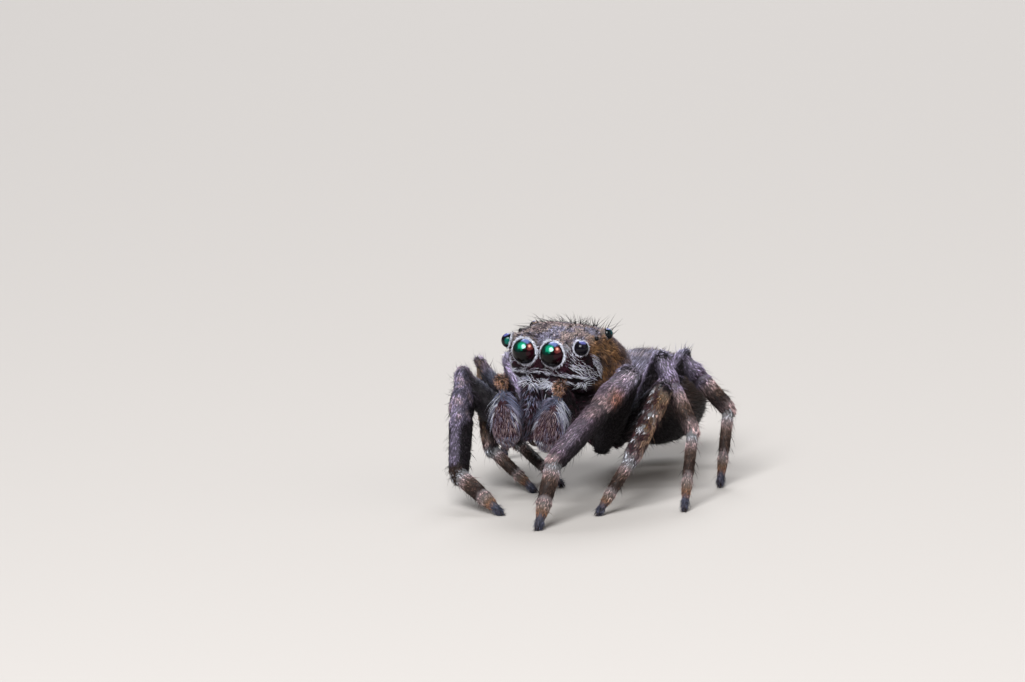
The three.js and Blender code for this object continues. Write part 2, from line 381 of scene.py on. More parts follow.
def add_tube(part, centres, radii_back, radii_side, columns=20):
    """A closed round form along a line of centres, with half sizes toward the back and the side."""
    turn = np.linspace(0, 2 * np.pi, columns, endpoint=False)
    rings = (
        centres[:, None]
        + np.asarray(radii_back)[:, None, None] * np.cos(turn)[None, :, None] * part["back"]
        + np.asarray(radii_side)[:, None, None] * np.sin(turn)[None, :, None] * part["side"]
    )
    add_form(part, rings.reshape(-1, 3), grid_faces(len(centres), columns))


def neighbours(grid):
    """The mean of the two neighbours round each place of a closed grid, and of the two along it."""
    padded = np.pad(grid, ((1, 1), (0, 0)), mode="edge")
    return (np.roll(grid, 1, 1) + np.roll(grid, -1, 1)) / 2, (padded[:-2] + padded[2:]) / 2


def spread(grid, known):
    """Fills the unknown places of a closed grid from their neighbours."""
    filled = np.where(known, grid, np.median(grid[known]))
    for _ in range(60):
        around, along = neighbours(filled)
        filled = np.where(known, grid, (around + along) / 2)
    return filled


def blur(grid):
    around, along = neighbours(grid)
    return grid * 0.4 + around * 0.3 + along * 0.3


def add_shell(part, node, depth, eyes=(), rows=44, columns=72):
    """A trunk form: the solid's own surface seen from its middle, drawn in by the coat's depth."""
    tree = node_tree(node)
    low = to_body(node_points(node)).min(axis=0)
    high = to_body(node_points(node)).max(axis=0)
    centre = from_body((low + high) / 2)
    directions = globe(np.linspace(0.03, np.pi - 0.03, rows), columns) @ BODY_AXES
    sockets = [(middle(eye), radius_of(eye) + 0.06) for eye in eyes]
    reach = np.zeros((rows, columns))
    known = np.zeros((rows, columns), bool)
    for row in range(rows):
        for column in range(columns):
            hit, _, _, distance = tree.ray_cast(Vector(centre), Vector(directions[row, column]))
            if hit is None:
                continue
            reach[row, column] = distance
            known[row, column] = all(
                np.linalg.norm(np.array(hit) - spot) > size for spot, size in sockets
            )
    reach = blur(spread(reach, known)) - depth
    points = centre + directions * reach[..., None]
    add_form(part, points.reshape(-1, 3), globe_faces(rows, columns))


def solid_radii(part, node, stations):
    """Half sizes of the solid toward its back and its side at shares of the part's length."""
    tree = node_tree(node)
    turns = np.linspace(0, 2 * np.pi, 20, endpoint=False)
    table = np.full((len(stations), 2), np.nan)
    for row, share in enumerate(stations):
        centre = part["start"] + part["axis"] * part["length"] * share
        reach = []
        for turn in turns:
            ray = math.cos(turn) * part["back"] + math.sin(turn) * part["side"]
            hit, _, _, distance = tree.ray_cast(Vector(centre), Vector(ray))
            if hit is not None:
                reach.append((distance, math.cos(2 * turn)))
        if len(reach) < len(turns):
            continue
        reach = np.array(reach)
        oval = 2 * (reach[:, 0] * reach[:, 1]).mean()
        table[row] = reach[:, 0].mean() + oval, reach[:, 0].mean() - oval
    known = np.flatnonzero(~np.isnan(table[:, 0]))
    rows = np.arange(len(stations))
    return np.stack([np.interp(rows, known, table[known, way]) for way in range(2)], axis=1)


def add_limb(part, node, share, waists=(), thins=()):
    """A limb's form: a share of the solid's own thickness, with narrow waists and rounded ends."""
    measured = np.linspace(0.12, 0.88, 9)
    table = solid_radii(part, node, measured)
    stations = np.linspace(0, 1, 41)
    back = np.interp(stations, measured, table[:, 0]) * share
    side = np.interp(stations, measured, table[:, 1]) * share
    shape = np.ones_like(stations)
    for place, width, depth in waists:
        shape -= depth * bell(stations, place, width)
    for place, factor in thins:
        shape *= 1 - (1 - factor) * ramp(place, 1, stations)
    back *= shape
    side *= shape
    along = stations * part["length"]
    cap = np.sin(np.linspace(math.pi / 2, 0.12, 5))
    cap_out = np.cos(np.linspace(math.pi / 2, 0.12, 5))
    first = (back[0] + side[0]) / 2
    last = (back[-1] + side[-1]) / 2
    along = np.concatenate((-first * cap_out[:0:-1], along, part["length"] + last * cap_out[1:]))
    back = np.concatenate((back[0] * cap[:0:-1], back, back[-1] * cap[1:]))
    side = np.concatenate((side[0] * cap[:0:-1], side, side[-1] * cap[1:]))
    add_tube(part, part["start"] + along[:, None] * part["axis"], back, side)


# ---- trunk

EYES = [f"eye_{row}_{side}" for row in EYE_ROWS for side in SIDES]

carapace = add_part("carapace", from_body((0, 0.05, -0.45)), from_body((0, -2.65, -0.75)), UP)
add_shell(carapace, "carapace", 0.05, eyes=EYES)
EYE_COLLAR = 0.008
EYE_SINK = {"front_middle": 0.075, "front_side": 0.05, "back_middle": 0.02, "back_side": 0.045}


def eye_axis(eye):
    """The way that an eye looks: the big front pair straight ahead, the others out from the head."""
    if "front_middle" in eye:
        return FORWARD
    return unit(middle(eye) - from_body((0, -0.85, -0.15)))


for row in EYE_ROWS:
    for side in SIDES:
        eye = f"eye_{row}_{side}"
        add_ball(
            carapace, middle(eye) - eye_axis(eye) * EYE_SINK[row], [radius_of(eye) + EYE_COLLAR] * 3,
        )

add_ball(carapace, from_body((0, -1.3, -1.08)), (0.74, 1.0, 0.4))

abdomen = add_part("abdomen", from_body((0, -2.9, -1.45)), from_body((0, -5.6, -1.75)), UP)
add_shell(abdomen, "abdomen", 0.075)

sternum = add_part("sternum", from_body((0, -0.78, -1.45)), from_body((0, -2.38, -1.45)), -UP)
add_shell(sternum, "sternum", 0.03)

mouth = add_part("mouthparts", from_body((0, -0.5, -0.95)), from_body((0, -0.5, -1.8)), FORWARD)
add_ball(mouth, from_body((0, -0.5, -1.2)), (0.34, 0.15, 0.3))
add_ball(mouth, from_body((0, -0.6, -1.52)), (0.12, 0.09, 0.2))
for sign in (1, -1):
    add_ball(mouth, from_body((0.2 * sign, -0.5, -1.5)), (0.16, 0.15, 0.28))

pedicel = add_part("pedicel", from_body((0, -2.3, -1.15)), from_body((0, -3.1, -1.38)), UP)
add_limb(pedicel, "pedicel", 0.75)

# Each pair of spinnerets: how far out and up it starts, its length and its half thickness.
SPINNERET_PAIRS = ((0.13, -0.05, 0.36, 0.075), (0.12, 0.08, 0.42, 0.06), (0.04, 0.02, 0.3, 0.04))
spinnerets = add_part("spinnerets", from_body((0, -5.3, -1.85)), from_body((0, -5.78, -1.95)), UP)
for left, up, length, thick in SPINNERET_PAIRS:
    for sign in (1, -1):
        base = from_body((left * sign, -5.3, -1.86 + up))
        reach = np.linspace(0, 1, 7)
        tip = base + (-FORWARD * length - UP * 0.05 + LEFT * 0.03 * sign)
        centres = base + (tip - base) * reach[:, None]
        thickness = thick * np.array((1, 1, 0.97, 0.9, 0.82, 0.6, 0.3))
        add_tube(spinnerets, centres, thickness, thickness, columns=14)

# ---- jaws and palps

for side in SIDES:
    top, low = (mirrored(side, spot) for spot in ((0.24, -0.08, -0.7), (0.25, -0.04, -1.62)))
    jaw = add_part(f"chelicera_{side}", top, low, FORWARD)
    add_limb(jaw, f"chelicera_{side}", 0.87)

# The palps as body points, mirrored for the right side, and the hand's outline: the share of the
# way from elbow to tip, and the half width there. The hand is flatter than it is wide.
PALP_ROOT = (0.68, -0.4, -1.5)
PALP_ELBOW = (0.66, 0.3, -0.54)
PALP_TIP = (0.44, 0.47, -1.6)
PALP_HAND_OUTLINE = (
    (0.12, 0.07), (0.18, 0.085), (0.24, 0.09), (0.30, 0.085), (0.35, 0.08), (0.41, 0.13), (0.5, 0.2),
    (0.62, 0.255), (0.76, 0.29), (0.9, 0.295), (1.02, 0.26), (1.1, 0.2), (1.15, 0.13), (1.18, 0.05),
)
PALP_HAND_FLATTEN = 0.75
for side in SIDES:
    root, elbow, tip = (mirrored(side, spot) for spot in (PALP_ROOT, PALP_ELBOW, PALP_TIP))
    arm = add_part(f"palp_arm_{side}", root, elbow, UP + FORWARD * 0.5)
    add_limb(arm, f"palp_arm_{side}", 0.78, waists=((0.5, 0.06, 0.16),))
    hand = add_part(f"palp_hand_{side}", elbow, tip, FORWARD)
    add_ball(hand, elbow + hand["axis"] * 0.03 + FORWARD * 0.03, (0.12, 0.12, 0.115))
    outline = np.array(PALP_HAND_OUTLINE)
    centres = elbow + outline[:, :1] * hand["length"] * hand["axis"]
    add_tube(hand, centres, outline[:, 1] * PALP_HAND_FLATTEN, outline[:, 1], columns=24)

# ---- legs

COAT_PAST_TOE = 0.13
TOE_HEIGHT = 0.085
# A segment's thickness as a share of its solid's, and places along it, for each pair of legs.
COXA_SHARE = 0.84
FEMUR_SHARE = {1: 0.88, 2: 0.86, 3: 0.86, 4: 0.86}
TIBIA_SHARE = {1: 0.88, 2: 0.86, 3: 0.8, 4: 0.8}
FOOT_SHARE = {1: 0.76, 2: 0.60, 3: 0.56, 4: 0.56}
PATELLA_END = {1: 0.39, 2: 0.40, 3: 0.36, 4: 0.36}
METATARSUS_END = {1: 0.56, 2: 0.58, 3: 0.60, 4: 0.60}
TOE_THIN = {1: 0.55, 2: 0.64, 3: 0.66, 4: 0.7}
legs = {}
for side in SIDES:
    for pair in LEG_PAIRS:
        stem = f"leg_{side}_{pair}"
        root, hip, knee, ankle, toe = limb_joints([f"{stem}_{segment}" for segment in SEGMENTS])
        toe = ankle + (toe - ankle) * (1 - COAT_PAST_TOE / np.linalg.norm(toe - ankle))
        toe[2] = max(toe[2], TOE_HEIGHT)
        outside = knee - (hip + toe) / 2
        legs[side, pair] = dict(hip=hip, knee=knee, ankle=ankle, toe=toe)
        coxa = add_part(f"{stem}_coxa", root, hip, -UP)
        add_limb(coxa, f"{stem}_coxa", COXA_SHARE, waists=((1.0, 0.12, 0.12),))
        femur = add_part(f"{stem}_femur", hip, knee, outside)
        add_limb(femur, f"{stem}_femur", FEMUR_SHARE[pair], waists=((0.0, 0.08, 0.2),))
        tibia = add_part(f"{stem}_tibia", knee, ankle, outside)
        add_limb(
            tibia, f"{stem}_tibia", TIBIA_SHARE[pair],
            waists=((PATELLA_END[pair], 0.035, 0.12), (1.0, 0.05, 0.14)),
        )
        foot = add_part(f"{stem}_foot", ankle, toe, outside)
        add_limb(
            foot, f"{stem}_foot", FOOT_SHARE[pair],
            waists=((0.0, 0.04, 0.1), (METATARSUS_END[pair], 0.03, 0.16)),
            thins=((METATARSUS_END[pair], TOE_THIN[pair]),),
        )

# ------------------------------------------------------------------ one skin

SKIN_VOXEL = 0.03
SMOOTH_FACTOR = 0.5
SMOOTH_TIMES = 5


def make_skin_mesh():
    rough = bpy.data.meshes.new("skin_forms")
    rough.from_pydata(np.concatenate(form_points).tolist(), [], form_faces)
    shape = bpy.data.objects.new("skin_forms", rough)
    link(shape)
    remesh = shape.modifiers.new("remesh", "REMESH")
    remesh.mode = "VOXEL"
    remesh.voxel_size = SKIN_VOXEL
    remesh.adaptivity = 0
    smooth = shape.modifiers.new("smooth", "SMOOTH")
    smooth.factor = SMOOTH_FACTOR
    smooth.iterations = SMOOTH_TIMES
    graph = bpy.context.evaluated_depsgraph_get()
    mesh = bpy.data.meshes.new_from_object(shape.evaluated_get(graph))
    bpy.data.objects.remove(shape)
    bpy.data.meshes.remove(rough)
    return mesh


skin_mesh = make_skin_mesh()
skin_points = read(skin_mesh.vertices, "co", 3)
skin_normals = read(skin_mesh.vertices, "normal", 3)


def label_points(points):
    """The index of the part that each point belongs to: the part of the nearest form."""
    known = np.concatenate(form_points)
    owner = np.concatenate(form_parts)
    tree = KDTree(len(known))
    for index, point in enumerate(known):
        tree.insert(point, index)
    tree.balance()
    return np.array([owner[tree.find(point)[1]] for point in points])


skin_parts = label_points(skin_points)

# ------------------------------------------------------------------ places on a part, and the atlas

PART_AXIS = np.array([part["axis"] for part in parts])
PART_BACK = np.array([part["back"] for part in parts])
PART_SIDE = np.array([part["side"] for part in parts])
PART_START = np.array([part["start"] for part in parts])
PART_LENGTH = np.array([part["length"] for part in parts])
PART_NAMES = np.array([part["name"] for part in parts])
PART_NUMBER = {part["name"]: part["index"] for part in parts}


def places(points, owners):
    """For each point: how far along its part it is (0 to 1), and its turn round it from the back."""
    offset = points - PART_START[owners]
    along = (offset * PART_AXIS[owners]).sum(axis=1) / PART_LENGTH[owners]
    turn = np.arctan2(
        (offset * PART_SIDE[owners]).sum(axis=1), (offset * PART_BACK[owners]).sum(axis=1),
    )
    return along, turn


# Each part has a rectangle of the atlas: the trunk's two forms are large, the rest are strips.
ATLAS_MARGIN = 0.004


def atlas_rectangles():
    rectangles = np.zeros((len(parts), 4))
    trunk = {"carapace": (0, 0.62, 0.5, 0.38), "abdomen": (0.5, 0.62, 0.5, 0.38)}
    small = [part for part in parts if part["name"] not in trunk and not part["name"].startswith("leg_")]
    for column, part in enumerate(small):
        rectangles[part["index"]] = (column / len(small), 0.48, 1 / len(small), 0.14)
    for name, rectangle in trunk.items():
        rectangles[list(PART_NAMES).index(name)] = rectangle
    limbs = [part for part in parts if part["name"].startswith("leg_")]
    for place, part in enumerate(limbs):
        column, row = place % 8, place // 8
        rectangles[part["index"]] = (column / 8, row * 0.12, 1 / 8, 0.12)
    return rectangles


ATLAS = atlas_rectangles()


def chart_places(points, owners):
    """Two numbers from 0 to 1 for each point on its own part's unwrap: round it, and along it."""
    along, turn = places(points, owners)
    round_it = turn / (2 * np.pi) + 0.5
    trunk = np.isin(PART_NAMES[owners], ("carapace", "abdomen", "sternum"))
    centre = (PART_START + PART_AXIS * PART_LENGTH[:, None] / 2)[owners]
    local = (points - centre) @ BODY_AXES.T
    globe_turn = np.arctan2(local[:, 0], local[:, 1]) / (2 * np.pi) + 0.5
    globe_height = np.arctan2(local[:, 2], np.hypot(local[:, 0], local[:, 1])) / np.pi + 0.5
    round_it = np.where(trunk, globe_turn, round_it)
    along = np.where(trunk, globe_height, 0.1 + 0.8 * along)
    return round_it, np.clip(along, 0, 1)


def atlas_points(round_it, along, owners):
    left, bottom, width, height = ATLAS[owners].T
    u = left + ATLAS_MARGIN + (width - 2 * ATLAS_MARGIN) * round_it
    v = bottom + ATLAS_MARGIN + (height - 2 * ATLAS_MARGIN) * along
    return np.stack((u, v), axis=1)


# ------------------------------------------------------------------ the markings, shared by skin and coat


def colour(red, green, blue):
    """An sRGB colour, each channel 0 to 255, as linear values."""
    value = np.array((red, green, blue)) / 255
    return np.where(value <= 0.04045, value / 12.92, ((value + 0.055) / 1.055) ** 2.4)


BLACK = colour(24, 18, 23)
DARK_RED = colour(84, 34, 40)
RED_JOINT = colour(66, 8, 16)
MAUVE = colour(124, 104, 118)
LAVENDER = colour(150, 136, 158)
MAROON = colour(62, 30, 42)
WINE = colour(58, 16, 34)
DARK_BROWN = colour(58, 42, 36)
BROWN = colour(104, 82, 72)
GOLD = colour(158, 118, 80)
ORANGE = colour(170, 118, 82)
PEACH = colour(232, 176, 146)
VIOLET = colour(170, 156, 186)
TAN = colour(178, 158, 152)
PINK = colour(206, 176, 176)
AMBER = colour(160, 98, 58)
WHITE = colour(236, 238, 248)
LILAC = colour(178, 172, 198)
GREY = colour(138, 130, 142)
SLATE = colour(96, 98, 118)
BLUE_GREY = colour(128, 134, 164)


def mix(first, second, share):
    share = np.asarray(share, float)[..., None]
    return first * (1 - share) + second * share


def layered(base, layers):
    """Colours laid one over the other on a base, from (colour, how much of it) pairs."""
    for shade, share in layers:
        base = mix(base, shade, share)
    return base


def bands(share, stops):
    """Colours along a limb, from (place, colour) stops."""
    marks = [stop[0] for stop in stops]
    table = np.array([stop[1] for stop in stops])
    return np.stack([np.interp(share, marks, table[:, channel]) for channel in range(3)], axis=1)


FOOT_BANDS = (
    (0.0, WHITE * 0.8), (0.08, WHITE * 0.8), (0.16, PINK), (0.28, BROWN), (0.42, DARK_BROWN),
    (0.54, DARK_BROWN), (0.60, PINK), (0.68, TAN), (0.80, ORANGE * 0.8), (0.9, SLATE), (1.0, SLATE * 0.6),
)
FEMUR_BANDS = ((0.0, BLACK), (0.5, BLACK), (0.75, SLATE * 0.7), (0.9, MAUVE), (1.0, LAVENDER))
PALE_FEMUR_BANDS = ((0.0, DARK_BROWN), (0.2, SLATE), (0.45, VIOLET), (0.9, VIOLET), (1.0, LILAC))
TIBIA_BANDS = {
    1: (
        (0.0, LILAC), (0.08, LAVENDER), (0.3, MAUVE), (0.37, PINK), (0.42, MAUVE * 0.6), (0.5, MAUVE),
        (0.78, LAVENDER * 0.8), (0.94, MAUVE), (1.0, PINK),
    ),
    2: (
        (0.0, TAN), (0.1, GOLD * 0.8), (0.3, BROWN), (0.37, PINK), (0.42, BROWN * 0.6), (0.55, GOLD * 0.75),
        (0.8, BROWN), (0.94, PINK), (1.0, WHITE * 0.8),
    ),
    3: (
        (0.0, VIOLET), (0.24, VIOLET), (0.36, MAROON), (0.4, VIOLET), (0.5, PINK), (0.65, BROWN),
        (0.8, DARK_BROWN), (0.95, PINK * 0.8), (1.0, PINK),
    ),
}
TIBIA_BANDS[4] = TIBIA_BANDS[3]


def head_markings(body, patch, fine):
    """Mottled tan and blue-grey on top, gold on the sides, dark below and on the face."""
    left, forward, up = body.T
    across = np.abs(left)
    top = mix(mix(TAN, PINK * 0.9, ramp(-0.3, 0.3, fine)), LILAC * 0.8, ramp(-0.1, 0.3, patch + 0.6 * fine))
    top = mix(top, MAROON, ramp(0.3, 0.8, fine - 0.4 * patch) * 0.8)
    side = mix(GOLD, BROWN * 0.8, ramp(-0.2, 0.6, patch + 0.6 * fine))
    low = mix(BLACK, MAROON, ramp(-0.2, 0.8, fine))
    head = mix(top, side, ramp(0.66, 0.86, across) * ramp(-0.15, -0.5, forward) * ramp(0.4, 0.2, up))
    head = mix(head, low, ramp(-0.5, -0.8, up) * ramp(0.0, -0.4, forward))
    face = mix(WINE, BLACK, ramp(-0.2, 0.9, fine))
    reach = forward + 0.35 * ramp(0.0, -0.2, up) * ramp(-0.7, -0.55, up)
    head = mix(head, face, ramp(-0.55, -0.38, reach) * ramp(0.18, 0.05, up))
    thorax = mix(GREY, BROWN, ramp(-0.5, 0.7, patch))
    return mix(head, thorax, ramp(-1.5, -1.9, forward) * ramp(-0.9, -0.6, up))


def abdomen_markings(body, patch, fine):
    """Dark brown with paler chevrons and flecks, black flanks and belly: their dark colour with painted
    shade.
    """
    left, forward, up = body.T
    across = np.abs(left)
    chevron = np.sin((forward + 0.45 * across) * 2 * np.pi / 0.62)
    pale = ramp(-0.5, 0.7, patch + 0.6 * fine) * ramp(-1.4, -0.8, up)
    pale = np.maximum(pale, 0.85 * ramp(-4.1, -3.3, forward) * ramp(-1.3, -0.9, up))
    result = mix(DARK_BROWN, LILAC * 0.85, pale)
    result = mix(result, TAN, ramp(0.55, 0.95, chevron) * ramp(0.7, 0.1, across) * 0.55)
    # Black toward the bottom, the dark flanks and belly with painted shade.
    return mix(result, BLACK, ramp(-1.5, -1.9, up))


def on_leg(names, pair, ending):
    return np.char.startswith(names, "leg_") & np.char.endswith(names, f"_{pair}_{ending}")


def limb_markings(names, along, turn, patch, fine):
    """Leg bands: black below, lilac and grey above, mottled gold on the second legs, ringed feet."""
    upper = ramp(-0.35, 0.35, np.cos(turn))
    femur = bands(along, FEMUR_BANDS)
    tibia = np.zeros((len(names), 3))
    for pair in LEG_PAIRS:
        tibia = np.where(on_leg(names, pair, "tibia")[:, None], bands(along, TIBIA_BANDS[pair]), tibia)
        if pair > 2:
            femur = np.where(on_leg(names, pair, "femur")[:, None], bands(along, PALE_FEMUR_BANDS), femur)
    femur = mix(BLACK, femur, upper)
    second = on_leg(names, 2, "tibia")
    golden = ramp(0.3, -0.2, np.sin(turn)) * ramp(0.97, 0.85, along)
    flecks = ramp(0.35, 0.7, -fine + 0.2 * patch) * ramp(-0.6, 0.2, np.sin(turn))
    tibia = layered(tibia, (
        (mix(GOLD, TAN, 0.35), second * golden * 0.55),
        (MAROON * 0.7, second * ramp(0.2, 0.8, np.sin(turn)) * 0.75),
        (MAROON * 0.7, second * ramp(0.0, 0.3, fine + 0.3 * patch) * 0.9),
        (WHITE, second * flecks * 0.8),
    ))
    # The left front leg has a brown upper face with an orange patch, and is black round its under side, its
    # dark colour with painted shade.
    front = names == "leg_left_1_tibia"
    amber = bell(along, 0.25, 0.07) * ramp(0.1, 0.8, -np.sin(turn))
    middle_line = bell(turn, -0.5, 0.55)
    round_to = 1.35 - 0.6 * ramp(0.36, 0.5, along)
    tibia = layered(tibia, (
        (MAUVE * 0.5, front * ramp(0.0, 0.6, fine + 0.5 * patch) * (1 - middle_line) * 0.8),
        (PINK, front * middle_line * ramp(-0.3, 0.5, patch - 0.5 * fine) * 0.45),
        (AMBER, front * amber * 0.7),
        (MAUVE * 0.35, front * bell(along, 0.4, 0.05) * 0.7),
        (BLACK, front * ramp(0.15, -0.25, np.sin(turn + round_to)) * 0.9),
    ))
    # The right one has a lilac outer face where painted light falls, brightest above, and is black round the
    # rest, its dark colour with painted shade.
    dark = names == "leg_right_1_tibia"
    lower = ramp(0.42, 0.55, along)
    edge = 0.35 + 0.4 * lower
    lit = ramp(edge, edge + 0.2, np.cos(turn + 1.35 - 0.35 * lower) + 0.2 * patch)
    outer_face = layered(VIOLET * 1.15, (
        (PINK, ramp(0, 0.7, fine) * 0.6),
        (SLATE * 0.6, ramp(0.2, 0.7, -fine - 0.5 * patch) * 0.8),
        (mix(VIOLET * 0.62, VIOLET * 0.3, ramp(0.0, 0.7, patch + fine)), lower),
    ))
    tibia = layered(tibia, (
        (mix(BLACK, outer_face, lit), dark),
        (DARK_BROWN, dark * ramp(0.9, 0.97, along)),
        (BLACK, (1 - upper) * 0.75),
    ))
    foot = mix(bands(along, FOOT_BANDS), BROWN, ramp(0.1, 0.9, fine) * 0.4 * ramp(0.1, 0.25, along))
    result = mix(BLACK, MAROON, ramp(0, 0.8, fine))
    for ending, look in (("_femur", femur), ("_tibia", tibia), ("_foot", foot)):
        result = np.where(np.char.endswith(names, ending)[:, None], look, result)
    return result


def palp_markings(names, along, patch, fine):
    """Dark arms, a gold tuft at the elbow, a dark red joint, and a dark red hand."""
    arm = mix(BLACK, MAROON, ramp(0, 0.8, fine))
    glow = ramp(0.6, 0.95, along) * ramp(-0.2, 0.8, patch + fine * 0.5)
    hand = mix(SLATE, mix(MAROON * 0.8, DARK_RED * 0.7, glow), ramp(0.3, 0.35, along))
    hand = mix(mix(BROWN * 0.5, hand, ramp(0.14, 0.2, along)), RED_JOINT, bell(along, 0.385, 0.03))
    return np.where(np.char.startswith(names, "palp_arm")[:, None], arm, hand)


def markings(points, owners):
    """The body's pattern: the colour of the coat at each point."""
    body = to_body(points)
    along, turn = places(points, owners)
    names = PART_NAMES[owners]
    patch = ripple(points, 0.55, 3)
    fine = ripple(points, 0.16, 4)
    result = mix(BLACK, MAROON, ramp(0, 1, fine))
    looks = (
        (names == "carapace", head_markings(body, patch, fine)),
        (names == "abdomen", abdomen_markings(body, patch, fine)),
        (np.char.startswith(names, "leg_"), limb_markings(names, along, turn, patch, fine)),
        (np.char.startswith(names, "palp_"), palp_markings(names, along, patch, fine)),
    )
    for chosen, look in looks:
        result = np.where(chosen[:, None], look, result)
    return result


SKIN_TONE = 0.4
HAND_TONE = 0.5
PALE_DULLING = 1.8  # white marks are in the hairs more than in the skin
on_hands = np.char.startswith(PART_NAMES[skin_parts], "palp_hand")
skin_colours = markings(skin_points, skin_parts)
skin_colours = skin_colours / (1 + PALE_DULLING * skin_colours)
skin_colours = skin_colours * np.where(on_hands, HAND_TONE, SKIN_TONE)[:, None]

# ------------------------------------------------------------------ materials


TONE_SCALE = 9000.0
GRAIN_SCALE = 24000.0


def new_node(nodes, kind, settings=(), **choices):
    """A shader node with these inputs set, and with its own choices such as how it mixes."""
    node = nodes.new(f"ShaderNode{kind}")
    for name, value in choices.items():
        setattr(node, name, value)
    set_inputs(node, dict(settings))
    return node


def noise(nodes, links, scale, detail=4.0, roughness=0.6):
    texture = new_node(nodes, "TexNoise", {"Scale": scale, "Detail": detail, "Roughness": roughness})
    links.new(new_node(nodes, "TexCoord").outputs["Object"], texture.inputs["Vector"])
    return texture


def coat_material(name, roughness, bump=0.0, uneven=0.35, specular=0.5):
    """A finish coloured by the markings, with a fine uneven tone and, on the skin, a wrinkled surface."""
    material, nodes, links = new_material(name, {"Roughness": roughness, "Specular IOR Level": specular})
    shader = nodes["Principled BSDF"]
    pattern = new_node(nodes, "Attribute", attribute_name="markings")
    tone = noise(nodes, links, TONE_SCALE)
    span = new_node(nodes, "MapRange", {"To Min": 1 - uneven, "To Max": 1 + uneven})
    links.new(tone.outputs["Fac"], span.inputs["Value"])
    blend = new_node(nodes, "Mix", data_type="RGBA", blend_type="MULTIPLY")
    blend.inputs["Factor"].default_value = 1
    links.new(pattern.outputs["Color"], blend.inputs["A"])
    links.new(span.outputs["Result"], blend.inputs["B"])
    links.new(blend.outputs["Result"], shader.inputs["Base Color"])
    if bump:
        grain = noise(nodes, links, GRAIN_SCALE, detail=6.0)
        height = new_node(nodes, "Bump", {"Strength": 0.8, "Distance": bump * MM})
        links.new(grain.outputs["Fac"], height.inputs["Height"])
        links.new(height.outputs["Normal"], shader.inputs["Normal"])
    return material


# ------------------------------------------------------------------ making a mesh of tufts

PATCH = 0.003


class Tufts:
    """Hairs and scales gathered from several regions, to be made as one mesh."""

    def __init__(self):
        self.batches = []

    def add(self, **batch):
        self.batches.append(batch)

    def joined(self):
        keys = self.batches[0].keys()
        return {key: np.concatenate([batch[key] for batch in self.batches]) for key in keys}


FLOOR_CLEARANCE = 0.003
TOP_LIMIT = (cad_box[1].z + 0.028 * (cad_box[1].z - cad_box[0].z)) / MM


def tuft_mesh(name, tufts, rings):
    """Closed three-sided blades that taper to a point, with sections at the `rings` shares of the length."""
    data = tufts.joined()
    count = len(data["root"])
    normal = data["normal"]
    lie = data["lie"]
    across = np.cross(normal, lie)
    shares = np.array(rings)
    scale = np.interp(shares, (0, 0.4, 0.75, 1), (0.65, 1.0, 0.8, 0))
    taper = mix(((1 - shares) ** 0.8)[None], scale[None], data["leaf"])
    tilt = data["lift"][:, None] * (1 - data["curl"][:, None] * np.append(shares, 1.0) / 2)
    distance = data["length"][:, None] * np.append(shares, 1.0)
    path = (
        (data["root"] - normal * 0.012)[:, None]
        + (distance * np.cos(tilt))[..., None] * lie[:, None]
        + (distance * np.sin(tilt))[..., None] * normal[:, None]
        + (distance * np.append(shares, 1.0))[..., None] * data["sweep"][:, None]
    )
    half = data["width"][:, None] / 2 * taper
    rise = np.cross(across, unit(path[:, -1] - path[:, 0]))
    rise = np.where((rise * normal).sum(axis=1, keepdims=True) < 0, -rise, rise)
    sections = np.stack((
        path[:, :-1] + half[..., None] * across[:, None],
        path[:, :-1] - half[..., None] * across[:, None],
        path[:, :-1] + (half * data["thick"][:, None])[..., None] * rise[:, None],
    ), axis=2)
    vertices = np.concatenate((sections.reshape(count, -1, 3), path[:, -1:]), axis=1)
    vertices[..., 2] = np.clip(vertices[..., 2], FLOOR_CLEARANCE, TOP_LIMIT)
    per = vertices.shape[1]
    faces = [(0, 2, 1)]
    for ring in range(len(rings) - 1):
        base = ring * 3
        for a, b in ((0, 1), (1, 2), (2, 0)):
            faces.append((base + a, base + b, base + 3 + b))
            faces.append((base + a, base + 3 + b, base + 3 + a))
    last = (len(rings) - 1) * 3
    for a, b in ((0, 1), (1, 2), (2, 0)):
        faces.append((last + a, last + b, per - 1))
    faces = np.array(faces)[:, ::-1]
    corners = (faces[None] + (np.arange(count) * per)[:, None, None]).reshape(-1)
    shade = np.append(np.repeat(shares, 3), 1.0)
    tint = (
        data["root_colour"][:, None] * (1 - shade)[None, :, None]
        + data["tip_colour"][:, None] * shade[None, :, None]
    )
    place = data["atlas"][:, None] + PATCH * (np.stack((
        np.append(np.tile((0.0, 1.0, 0.5), len(rings)), 0.5), shade,
    ), axis=1) - 0.5)[None]
    mesh = bpy.data.meshes.new(name)
    mesh.vertices.add(count * per)
    mesh.vertices.foreach_set("co", (vertices * MM).reshape(-1).astype(np.float32))
    mesh.loops.add(len(corners))
    mesh.loops.foreach_set("vertex_index", corners.astype(np.int32))
    mesh.polygons.add(len(corners) // 3)
    mesh.polygons.foreach_set("loop_start", np.arange(0, len(corners), 3, dtype=np.int32))
    mesh.polygons.foreach_set("use_smooth", np.ones(len(corners) // 3, bool))
    mesh.update(calc_edges=True)
    set_colours(mesh, tint.reshape(-1, 3))
    uv = mesh.uv_layers.new(name="OFBake")
    uv.data.foreach_set("uv", place.reshape(-1, 2)[corners].reshape(-1).astype(np.float32))
    return mesh


def set_colours(mesh, values):
    layer = mesh.color_attributes.new("markings", "FLOAT_COLOR", "POINT")
    full = np.concatenate((values, np.ones((len(values), 1))), axis=1)
    layer.data.foreach_set("color", full.reshape(-1).astype(np.float32))


def show(name, mesh, material):
    piece = bpy.data.objects.new(name, mesh)
    mesh.materials.append(material)
    link(piece)
    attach(piece, "root")
    return piece


# ------------------------------------------------------------------ the skin as a piece


